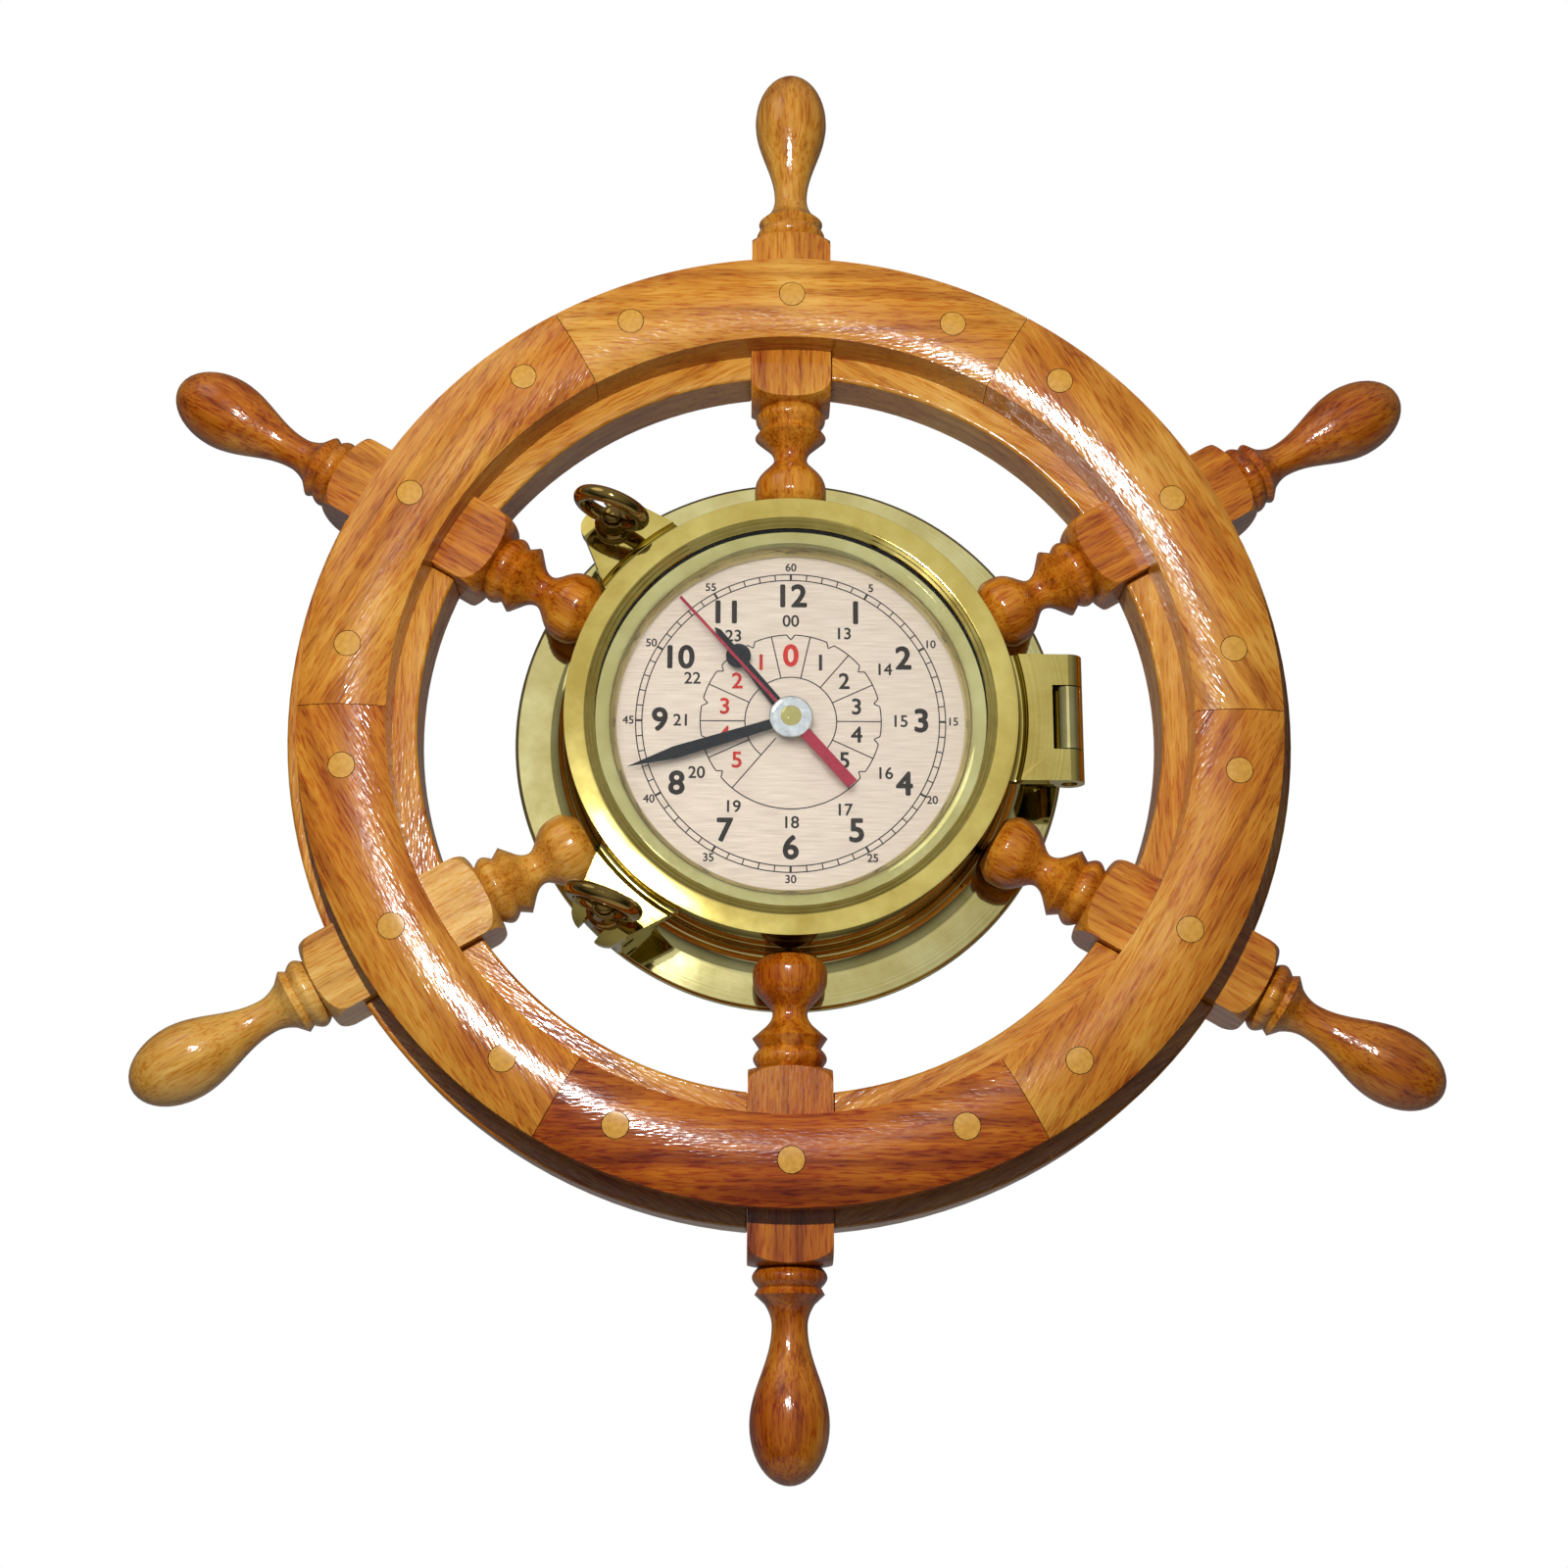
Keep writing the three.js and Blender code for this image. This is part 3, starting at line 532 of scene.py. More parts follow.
def arc(radius, front, reach, start, end, count, front_reach=None):
    """Part of a circle, or of an ellipse with its own reach to the front, as (radius, front); in degrees."""
    depth = reach if front_reach is None else front_reach
    angles = [radians(start + (end - start) * t) for t in shares(count)]
    return [(radius + reach * cos(a), front + depth * sin(a)) for a in angles]


def shoulder(end, inward, corner_radius):
    """The turned shoulder from the groove at a block's end to its corners."""
    groove = GROOVE_D / 2
    rise = corner_radius - groove
    depths = [(t, SHOULDER * (1 - sqrt(1 - t * t))) for t in shares(count=10)]
    return [(end + inward * depth, groove + rise * t) for t, depth in depths]


def bead_and_collar(start, way, collar):
    """The turning next to the block, outwards from it: bead, groove and sloping collar."""
    bead_end = start + way * BEAD_LENGTH
    return stretch(bead, start, bead_end, GROOVE_D / 2, BEAD_D / 2, count=10) + [
        (bead_end + way * collar["peak"], collar["d"] / 2),
        (bead_end + way * collar["length"], collar["end_d"] / 2),
    ]


def spoke_turning():
    """A spoke's turned form from its bulb to its tip, as (along, radius)."""
    corner_radius = BLOCK * sqrt(0.5) + FIT
    inner_collar = bead_and_collar(BLOCK_START, -1, INNER_COLLAR)[::-1]
    outer_collar = bead_and_collar(BLOCK_END, 1, OUTER_COLLAR)
    inner_start = inner_collar[0][0]
    inner_neck = inner_start - INNER_COLLAR["neck_run"]
    outer_start = outer_collar[-1][0]
    outer_neck = outer_start + OUTER_COLLAR["neck_run"]
    swell = SPOKE_TIP - HANDLE_TIP
    bulb_start = BODY_R + BULB_STANDOFF
    bulb_crown = bulb_start + BULB_CROWN
    neck_r, bulb_r, handle_r = NECK_D / 2, BULB_D / 2, HANDLE_D / 2
    return [
        (bulb_start, 0),
        *stretch(crown, bulb_start, bulb_crown, BULB_END_D / 2, bulb_r, count=10),
        *stretch(bulb_fall, bulb_crown, inner_neck, bulb_r, neck_r, count=18)[1:],
        *stretch(hollow, inner_neck, inner_start, neck_r, INNER_COLLAR["end_d"] / 2, count=6)[1:-1],
        *inner_collar,
        *shoulder(BLOCK_START, 1, corner_radius)[1:],
        *shoulder(BLOCK_END, -1, corner_radius)[:0:-1],
        *outer_collar,
        *stretch(hollow, outer_neck, outer_start, neck_r, OUTER_COLLAR["end_d"] / 2, count=8)[-2::-1],
        *stretch(soft_s, outer_neck, swell, neck_r, handle_r, count=18)[1:],
        *rounded_end(swell, SPOKE_TIP, handle_r, count=12)[1:],
    ]


def body_cove(grow):
    """The quarter round from the flange up to the porthole's wall."""
    return arc(BODY_R + grow + BODY_COVE, FLANGE_THICK + grow + BODY_COVE, BODY_COVE, 270, 180, count=14)


def tongue(root_z, tip_z, root_width, tip_width, corner):
    """An ear or a lug at twelve o'clock that narrows to a tip with round corners, as (x, z)."""
    right = arc(tip_width / 2 - corner, tip_z - corner, corner, 0, 90, count=6)
    left = [(-x, z) for x, z in reversed(right)]
    return [(-root_width / 2, root_z), (root_width / 2, root_z)] + right + left


# Materials

# A distance from the wall that no face has, and how far from a satin face the polish starts.
NO_FACE = -10
POLISH_BLEND = 0.5


def linear(code):
    """An sRGB hex colour as linear red, green and blue."""
    parts = [int(code[i : i + 2], 16) / 255 for i in (1, 3, 5)]
    return tuple(c / 12.92 if c <= 0.04045 else ((c + 0.055) / 1.055) ** 2.4 for c in parts)


def shaded(colour, share):
    """A darker tone of a colour."""
    return tuple(share * part for part in colour)


def opaque(colour):
    """A colour for a socket that also wants alpha."""
    return (*colour, 1)


def every(size):
    """The scale of a pattern that repeats at a real size."""
    return 1 / (size * MM)


def add(tree, kind, inputs=(), output=None, stops=(), **settings):
    """Adds a node; an input is a value or another node's output. Returns the output named, or its first."""
    node = tree.nodes.new("ShaderNode" + kind)
    for key, value in settings.items():
        setattr(node, key, value)
    for key, value in dict(inputs).items():
        if isinstance(value, bpy.types.NodeSocket):
            tree.links.new(value, node.inputs[key])
        else:
            node.inputs[key].default_value = value
    for number, (place, colour) in enumerate(stops):
        ramp = node.color_ramp.elements
        stop = ramp[number] if number < 2 else ramp.new(place)
        stop.position = place
        stop.color = opaque(colour)
    if output:
        return node.outputs[output]
    shown = [socket for socket in node.outputs if socket.enabled]
    return shown[0] if shown else None


def close(tree, inputs):
    """Ends a tree in one principled shader."""
    shader = add(tree, "BsdfPrincipled", inputs)
    add(tree, "OutputMaterial", {"Surface": shader})


def material(name, finish, **values):
    """A material by its name; its finish builds the nodes when it is first asked for."""
    look = bpy.data.materials.get(name)
    if look is None:
        look = bpy.data.materials.new(name)
        look.use_nodes = True
        look.node_tree.nodes.clear()
        finish(look.node_tree, **values)
    return look


def varnished_wood(tree, wheel):
    """Acacia, planed and turned, under sprayed gloss varnish: brown figure, dark pores, a rippled shine."""
    plank = add(tree, "Attribute", output="Vector", attribute_name="grain")
    tone = add(tree, "Attribute", output="Fac", attribute_name="tone")
    # Growth bands about 5 mm wide and 130 mm long.
    bands = add(tree, "Mapping", {"Vector": plank, "Scale": (every(130), every(5), every(5))})
    waves = {"Vector": bands, "Scale": 1.0, "Detail": 4.0, "Roughness": 0.6, "Distortion": 0.2}
    figure = add(tree, "TexNoise", waves)
    stops = ((0.28, wheel.dark), (0.74, wheel.pale), (0.5, wheel.middle))
    colour = add(tree, "ValToRGB", {"Fac": figure}, stops=stops)
    # Pores are 0.2 mm wide; drawn 0.9 mm wide so that they show.
    pores = add(tree, "Mapping", {"Vector": plank, "Scale": (every(9), every(0.9), every(0.9))})
    pore = add(tree, "TexNoise", {"Vector": pores, "Scale": 1.0, "Detail": 2.0})
    darker = {"From Min": 0.32, "From Max": 0.5, "To Min": 1.5, "To Max": 1.0}
    depth = add(tree, "MapRange", {"Value": pore, **darker})
    # Stain takes unevenly over a few centimetres, and one plank drinks more than the next.
    cloud = add(tree, "TexNoise", {"Vector": plank, "Scale": every(45), "Detail": 2.0})
    uneven = {"From Min": 0.3, "From Max": 0.7, "To Min": 1.4, "To Max": 0.85}
    shade = add(tree, "MapRange", {"Value": cloud, **uneven})
    shade = add(tree, "Math", {0: shade, 1: tone}, operation="MULTIPLY")
    both = add(tree, "Math", {0: depth, 1: shade}, operation="MULTIPLY")
    stained = add(tree, "Gamma", {"Color": colour, "Gamma": both})
    # Varnish sinks into the open grain and leaves furrows about 1 mm apart and 5 mm long.
    furrows = add(tree, "Mapping", {"Vector": plank, "Scale": (every(5), every(1), every(1))})
    furrow = add(tree, "TexNoise", {"Vector": furrows, "Scale": 1.0, "Detail": 1.0})
    skin = add(tree, "Bump", {"Height": furrow, "Strength": 1.0, "Distance": 0.14 * MM})
    wood = {"Base Color": stained, "Roughness": 0.5, "Specular IOR Level": 0.05, "Normal": skin}
    varnish = {"Coat Weight": 0.9, "Coat Roughness": 0.13, "Coat Normal": skin}
    close(tree, {**wood, **varnish})


def plug_wood(tree, wheel):
    """Pale hardwood dowel, cut across the grain and varnished over: fine flecks and a calm shine."""
    place = add(tree, "TexCoord", output="Object")
    # Flecks about 2 mm long.
    fleck = add(tree, "TexNoise", {"Vector": place, "Scale": every(2), "Detail": 3.0})
    colour = add(tree, "ValToRGB", {"Fac": fleck}, stops=((0.3, wheel.plug_dark), (0.75, wheel.plug)))
    wood = {"Base Color": colour, "Roughness": 0.5, "Specular IOR Level": 0.05}
    close(tree, {**wood, "Coat Weight": 0.9, "Coat Roughness": 0.09})


def brass(tree, port, clean, dull, satin=(NO_FACE, NO_FACE)):
    """Cast brass, turned and polished: mirror-like walls, and a satin face with faint turning marks."""
    place = add(tree, "TexCoord", output="Object")
    # The satin face lies between two distances from the wall.
    depth = add(tree, "SeparateXYZ", {"Vector": place}, output="Y")
    height = add(tree, "Math", {0: depth, 1: -1 / MM}, operation="MULTIPLY")
    start, end = satin
    above = add(tree, "MapRange", {"Value": height, "From Min": start - POLISH_BLEND, "From Max": start})
    below = add(tree, "MapRange", {"Value": height, "From Min": end + POLISH_BLEND, "From Max": end})
    face = add(tree, "Math", {0: above, 1: below}, operation="MULTIPLY")
    # Turning marks are 0.1 mm apart; drawn 1.4 mm apart so that they show.
    flat = add(tree, "VectorMath", {0: place, 1: (1, 0, 1)}, operation="MULTIPLY")
    reach = add(tree, "VectorMath", {0: flat}, output="Value", operation="LENGTH")
    marks = add(tree, "TexNoise", {"W": reach, "Scale": every(1.4), "Detail": 2.0}, noise_dimensions="1D")
    # Handling leaves smears a few centimetres wide.
    smear = add(tree, "TexNoise", {"Vector": place, "Scale": every(30), "Detail": 4.0, "Roughness": 0.65})
    dulled = {"From Min": 0.3, "From Max": 0.7, "To Min": 0.0, "To Max": 0.03}
    worn = add(tree, "MapRange", {"Value": smear, **dulled})
    gloss = add(tree, "MapRange", {"Value": face, "To Min": port.polish, "To Max": port.satin})
    rough = add(tree, "Math", {0: gloss, 1: worn}, operation="ADD")
    colour = add(tree, "ValToRGB", {"Fac": smear}, stops=((0.32, dull), (0.68, clean)))
    cut = add(tree, "Math", {0: marks, 1: face}, operation="MULTIPLY")
    grooves = add(tree, "Bump", {"Height": cut, "Strength": 0.03, "Distance": 0.2 * MM})
    close(tree, {"Base Color": colour, "Metallic": 1.0, "Roughness": rough, "Normal": grooves})


def polished_brass(context):
    """The same brass with no satin face."""
    port = context.scene.porthole_looks
    return material("polished_brass", brass, port=port, clean=port.brass, dull=port.brass_dark)


def aged_brass(context):
    """Brass that hands grip and nobody polishes: brown in the hollows, bright where it is rubbed."""
    port = context.scene.porthole_looks
    return material("aged_brass", brass, port=port, clean=port.aged, dull=port.aged_dark)


def window_glass(tree, tint):
    """Float glass: clear, with a faint green from its thickness."""
    place = add(tree, "TexCoord", output="Object")
    # Wipe marks about 20 mm wide that only the highlights show.
    wipe = add(tree, "TexNoise", {"Vector": place, "Scale": every(20), "Detail": 3.0})
    wiped = {"From Min": 0.4, "From Max": 0.8, "To Min": 0.0, "To Max": 0.02}
    rough = add(tree, "MapRange", {"Value": wipe, **wiped})
    # Coated against glare, so it mirrors less than bare glass.
    close(tree, {"Base Color": opaque(tint), "Roughness": rough, "IOR": 1.3, "Transmission Weight": 1.0})


def dial_metal(tree, dark, light):
    """Anodised aluminium sheet, brushed across: a champagne sheen with fine sideways lines."""
    place = add(tree, "TexCoord", output="Object")
    # Brush lines are 0.1 mm wide; drawn 0.7 mm wide and 14 mm long so that they show.
    stretched = add(tree, "Mapping", {"Vector": place, "Scale": (every(14), 1, every(0.7))})
    lines = add(tree, "TexNoise", {"Vector": stretched, "Scale": 1.0, "Detail": 2.0})
    colour = add(tree, "ValToRGB", {"Fac": lines}, stops=((0.3, dark), (0.7, light)))
    satin = {"From Min": 0.3, "From Max": 0.7, "To Min": 0.4, "To Max": 0.55}
    rough = add(tree, "MapRange", {"Value": lines, **satin})
    brushed = add(tree, "Bump", {"Height": lines, "Strength": 0.08, "Distance": 0.1 * MM})
    close(tree, {"Base Color": colour, "Metallic": 0.55, "Roughness": rough, "Normal": brushed})


def mottled(tree, size, detail, dark, light, smoothest, roughest):
    """An even skin with a mottle of a real size in its colour and its shine."""
    place = add(tree, "TexCoord", output="Object")
    mottle = add(tree, "TexNoise", {"Vector": place, "Scale": every(size), "Detail": detail})
    colour = add(tree, "ValToRGB", {"Fac": mottle}, stops=((0.3, dark), (0.7, light)))
    rough = add(tree, "MapRange", {"Value": mottle, "To Min": smoothest, "To Max": roughest})
    return {"Base Color": colour, "Roughness": rough}


def painted(tree, dark, light, roughness):
    """Sprayed paint, ink or moulded plastic: an even film, mottled about 1.5 mm wide, with a low shine."""
    shine = {"smoothest": roughness - 0.06, "roughest": roughness + 0.06}
    film = mottled(tree, size=1.5, detail=2.0, dark=dark, light=light, **shine)
    close(tree, {**film, "Specular IOR Level": 0.15})


def bright_metal(tree, dark, light, roughness):
    """Plated brass or steel: silver with faint clouds about 4 mm wide."""
    shine = {"smoothest": roughness, "roughest": roughness + 0.08}
    plating = mottled(tree, size=4, detail=3.0, dark=dark, light=light, **shine)
    close(tree, {**plating, "Metallic": 1.0})


def painted_board(tree, colour):
    """A matt painted board with a faint roller texture; a glow keeps it pale to the camera and in mirrors."""
    place = add(tree, "TexCoord", output="Object")
    # Roller marks about 50 mm wide.
    mottle = add(tree, "TexNoise", {"Vector": place, "Scale": every(50), "Detail": 2.0})
    rough = add(tree, "MapRange", {"Value": mottle, "To Min": 0.75, "To Max": 0.9})
    glow = 0.0
    for ray, level in FLOOR_GLOW.items():
        seen = add(tree, "LightPath", output=ray)
        glow = add(tree, "Math", {0: seen, 1: level, 2: glow}, operation="MULTIPLY_ADD")
    board = {"Base Color": opaque(colour), "Roughness": rough}
    close(tree, {**board, "Emission Color": opaque(colour), "Emission Strength": glow})


# Settings


def colour_setting(name, description, code):
    """A colour that a user may change."""
    limits = {"subtype": "COLOR", "size": 3, "min": 0, "max": 1}
    return FloatVectorProperty(name=name, description=description, default=linear(code), **limits)


def length_setting(name, description, default, smallest, largest):
    """A length that a user may change."""
    limits = {"unit": "LENGTH", "min": smallest * MM, "max": largest * MM}
    return FloatProperty(name=name, description=description, default=default * MM, **limits)


def roughness_setting(name, description, default):
    """A roughness that a user may change."""
    limits = {"subtype": "FACTOR", "min": 0, "max": 1}
    return FloatProperty(name=name, description=description, default=default, **limits)


def power_setting(name, description, default):
    """A lamp's power that a user may change."""
    limits = {"unit": "POWER", "min": 0, "max": 500}
    return FloatProperty(name=name, description=description, default=default, **limits)


class WheelLooks(bpy.types.PropertyGroup):
    """Colours and edges of the wooden wheel."""

    dark: colour_setting("Dark figure", "Wood colour in the dark bands", "#a8681c")
    middle: colour_setting("Wood", "Wood colour between the bands", "#ca8d34")
    pale: colour_setting("Pale figure", "Wood colour in the pale bands", "#dca64a")
    plug: colour_setting("Plug", "Colour of the plugs", "#d6a044")
    plug_dark: colour_setting("Plug flecks", "Colour of the flecks in the plugs", "#bd8732")
    edge: length_setting("Edge", "How far the sharp edges of the wood are sanded round", 0.7, 0.1, 1.5)


class PortholeLooks(bpy.types.PropertyGroup):
    """Colours and finish of the brass porthole."""

    brass: colour_setting("Brass", "Colour of clean brass", "#d3cb92")
    brass_dark: colour_setting("Handled brass", "Colour of brass that hands have dulled", "#b8ab68")
    door: colour_setting("Door brass", "Colour of the polished door", "#cfc070")
    door_dark: colour_setting("Door tarnish", "Colour of the door where it has tarnished", "#b59f50")
    aged: colour_setting("Aged brass", "Colour of the dogs and ring nuts where they are rubbed", "#b89c58")
    aged_dark: colour_setting("Aged hollows", "Colour of the dogs and ring nuts in their hollows", "#7d6430")
    glass: colour_setting("Glass", "Tint of the glass", "#f5f8f5")
    polish: roughness_setting("Polish", "Roughness of the polished walls", 0.04)
    satin: roughness_setting("Satin", "Roughness of the satin faces", 0.04)
    edge: length_setting("Edge", "How far the sharp edges of the brass are rounded", 0.6, 0.1, 1.0)


class ClockLooks(bpy.types.PropertyGroup):
    """Colours and print of the clock."""

    dial: colour_setting("Dial", "Colour of the dial's sheet", "#ead8cb")
    dial_dark: colour_setting("Dial lines", "Colour of the dial's brush lines", "#d8c1b2")
    ink: colour_setting("Ink", "Colour of the printed numbers and lines", "#2c1f1c")
    red_ink: colour_setting("Red ink", "Colour of the red numbers", "#d9261c")
    hands: colour_setting("Hands", "Colour of the hour and minute hands", "#1c1d26")
    second: colour_setting("Second hand", "Colour of the second hand", "#b3123a")
    hour_size: length_setting("Hour numbers", "Height of the numbers 1 to 12", 10, 4, 12)


class StageLooks(bpy.types.PropertyGroup):
    """Light and floor round the clock."""

    floor: colour_setting("Floor", "Colour of the floor", "#f4f3f1")
    key: power_setting("Key light", "Power of the main lamp", 6.6)
    fill: power_setting("Fill light", "Power of the upper lamp", 2)


# Wheel


class CLOCK_OT_spokes(bpy.types.Operator):
    """Six turned spokes, each with a square block where it passes through the rim"""

    bl_idname = "ship_clock.spokes"
    bl_label = "Spokes"

    def execute(self, context):
        points = [Vector((radius, -SPOKE_AXIS, along)) for along, radius in spoke_turning()]
        spoke = spun("spoke_turning", points, ROD_STEPS, axis=ALONG_Z, centre=Vector((0, -SPOKE_AXIS, 0)))
        half = BLOCK / 2
        far = 2 * SPOKE_TIP
        carve(spoke, box("square", -half, half, 0, far, SPOKE_AXIS - half, SPOKE_AXIS + half), "INTERSECT")
        room = [(0, 0), (far, 0), (far, FLANGE_THICK + FIT), *body_cove(FIT), (BODY_R + FIT, far), (0, far)]
        carve(spoke, turned("porthole_room", room, steps=96))
        ease_edges(spoke, context.scene.wheel_looks.edge / MM)
        six_planks(context, spoke, "turned_spoke", "spoke", ALONG_Z, ALONG_X, SPOKE_TONES)
        return {"FINISHED"}


class CLOCK_OT_rim_segments(bpy.types.Operator):
    """Six flat segments of the middle ring, between the spokes' blocks"""

    bl_idname = "ship_clock.rim_segments"
    bl_label = "Rim segments"

    def execute(self, context):
        outline = [(RIM_INNER_R, RIM_BACK), (RIM_OUTER_R, RIM_BACK)]
        for radius, start in ((RIM_OUTER_R - RIM_ROUND, 0), (RIM_INNER_R + RIM_ROUND, 90)):
            outline += arc(radius, RIM_FRONT - RIM_ROUND, RIM_ROUND, start, start + 90, count=6)
        segment = turned("rim_ring", outline, steps=144)
        half_sector = radians(SECTOR / 2)
        far = 2 * RIM_OUTER_R
        apex = (BLOCK / 2 + SEAM) / sin(half_sector)
        reach = far * sin(half_sector)
        height = apex + far * cos(half_sector)
        wedge = plate("wedge", [(0, apex), (reach, height), (-reach, height)], -far, far)
        carve(segment, wedge, "INTERSECT")
        ease_edges(segment, context.scene.wheel_looks.edge / MM)
        cut = {"along": ALONG_X, "across": ALONG_Z, "tones": SEGMENT_TONES, "first_plank": SPOKES}
        six_planks(context, segment, "rim_plank", "rim_segment", **cut, start=0.5)
        return {"FINISHED"}


def front_ring_sector(name, gap):
    """One sixth of the domed front ring, centred on twelve o'clock."""
    half = RING_WIDTH / 2
    dome_r = (half**2 + DOME_RISE**2) / (2 * DOME_RISE)
    edge = degrees(asin(half / dome_r))
    dome = arc(RING_MIDDLE_R, RING_FRONT - dome_r, dome_r, 90 - edge, 90 + edge, count=28)
    outline = [(RING_MIDDLE_R + half, RING_BACK), *dome, (RING_MIDDLE_R - half, RING_BACK)]
    start = degrees(gap / RING_MIDDLE_R) - SECTOR / 2
    points = [on_clock(radius, start, front) for radius, front in outline]
    return spun(name, points + points[:1], steps=64, turn=radians(-2 * start), capped=True)


class CLOCK_OT_felloes(bpy.types.Operator):
    """Six domed felloes of the front ring, notched over the spokes' blocks"""

    bl_idname = "ship_clock.felloes"
    bl_label = "Front felloes"

    def execute(self, context):
        felloe = front_ring_sector("felloe", FIT / 2)
        half = BLOCK / 2 + FIT
        carve(felloe, box("notch", -half, half, 0, 2 * SPOKE_TIP, 0, SPOKE_AXIS + half))
        bottom = RING_FRONT - PLUG_DEPTH - FIT
        for angle in PLUG_ANGLES.values():
            place = on_clock(RING_MIDDLE_R, angle, 0)
            carve(felloe, post("hole", place, PLUG_D / 2 + FIT, bottom, RING_FRONT + FIT))
        cut = {"along": ALONG_X, "across": ALONG_Z, "tones": FELLOE_TONES, "first_plank": 2 * SPOKES}
        six_planks(context, felloe, "domed_felloe", "front_felloe", **cut)
        return {"FINISHED"}


class CLOCK_OT_plugs(bpy.types.Operator):
    """Eighteen plugs, trimmed flush with the dome"""

    bl_idname = "ship_clock.plugs"
    bl_label = "Rim plugs"

    def execute(self, context):
        look = material("varnished_dowel", plug_wood, wheel=context.scene.wheel_looks)
        for side, angle in PLUG_ANGLES.items():
            place = on_clock(RING_MIDDLE_R, angle, 0)
            plug = post("plug", place, PLUG_D / 2, RING_FRONT - PLUG_DEPTH, RING_FRONT + FIT)
            carve(plug, front_ring_sector("dome", 0), "INTERSECT")
            for number in range(SPOKES):
                piece = copy_of(plug, f"dowel_{number + 1}_{side}", number * SECTOR)
                finished(piece, "wheel", "plug_wood", look, f"rim_plug_{number + 1}_{side}")
            delete(plug)
        return {"FINISHED"}


# Porthole


def slotted_lug(edge):
    """A lug at twelve o'clock with the slot that a dog swings in."""
    outline = tongue(BODY_R - BODY_WALL / 2, DOG_R + LUG_REACH, LUG_ROOT, LUG_TIP, LUG_CORNER)
    lug = plate("lug", outline, FLANGE_THICK / 2, BODY_DEPTH)
    half = DOG_SLOT / 2
    far = 2 * DOG_R
    room = DOG_EYE_R + DOG_EYE_ROOM
    carve(lug, box("slot", -half, half, DOG_R - room, far, DOG_PIVOT - room, far))
    carve(lug, cross_rod("pin_hole", DOG_PIVOT_AT, DOG_PIN_R + FIT, LUG_ROOT, ALONG_X))
    ease_edges(lug, edge)
    return lug


def hinge_arm(edge):
    """The arm that carries the hinge's middle knuckle."""
    half = KNUCKLE_HEIGHT / 2
    arm = box("arm", BODY_R - BODY_WALL / 2, HINGE_X, -half, half, HINGE_FRONT - KNUCKLE_R, BODY_DEPTH)
    carve(arm, cross_rod("barrel", HINGE_AT, KNUCKLE_R, KNUCKLE_HEIGHT, ALONG_Z), "UNION")
    carve(arm, cross_rod("pin_way", HINGE_AT, HINGE_PIN_R + FIT, HINGE_HEIGHT, ALONG_Z))
    ease_edges(arm, edge)
    return arm


class CLOCK_OT_body(bpy.types.Operator):
    """The porthole's body: flange, coved wall, flared mouth, hinge arm and slotted lugs"""

    bl_idname = "ship_clock.body"
    bl_label = "Porthole body"

    def execute(self, context):
        port = context.scene.porthole_looks
        edge = port.edge / MM
        mouth = DIAL_SEAT + DIAL_LAND
        flare = {"reach": FLARE_WIDTH, "front_reach": SPIGOT_FRONT - mouth, "start": 90, "end": 180}
        outline = [
            (BORE_R, 0),
            (FLANGE_R, 0),
            (FLANGE_R, FLANGE_THICK - FLANGE_EDGE),
            (FLANGE_R - FLANGE_EDGE, FLANGE_THICK),
            *body_cove(0),
            (BODY_R, BODY_DEPTH),
            (SPIGOT_R, BODY_DEPTH),
            (SPIGOT_R, SPIGOT_FRONT),
            *arc(DIAL_OPENING_R + FLARE_WIDTH, mouth, **flare, count=14),
            (DIAL_OPENING_R, DIAL_SEAT),
            (BORE_R, DIAL_SEAT),
        ]
        shell = turned("cast_body", outline, PORTHOLE_STEPS)
        ease_edges(shell, edge / 2)
        lug = slotted_lug(edge)
        lugs = [copy_of(lug, f"lug_{side}", angle) for side, angle in DOG_ANGLES.items()]
        delete(lug)
        body = joined(shell, hinge_arm(edge), *lugs)
        finish = {"clean": port.brass, "dull": port.brass_dark, "satin": (0, FLANGE_THICK)}
        look = material("turned_brass_body", brass, port=port, **finish)
        finished(body, "wheel", "brass", look, "porthole_body")
        return {"FINISHED"}


def ear(angle):
    """One forked ear whose tip falls away round the dog's pivot."""
    outline = tongue(GLASS_R, DOG_R + EAR_REACH, EAR_ROOT, EAR_TIP, EAR_CORNER)
    piece = plate("ear", outline, DOOR_BACK, EAR_FRONT)
    half = DOG_SLOT / 2
    far = 2 * DOG_R
    carve(piece, box("slot", -half, half, DOG_R, far, 0, far))
    carve(piece, post("slot_end", Vector((0, 0, DOG_R)), half, 0, far))
    beyond = box("beyond", -EAR_ROOT, EAR_ROOT, DOG_R, far, DOG_PIVOT, far)
    tip_r = EAR_FRONT - DOG_PIVOT
    carve(beyond, cross_rod("nut_path", DOG_PIVOT_AT, tip_r, 4 * EAR_ROOT, ALONG_X, steps=144))
    carve(piece, beyond)
    turned_piece = copy_of(piece, "ear_turned", angle)
    delete(piece)
    return turned_piece


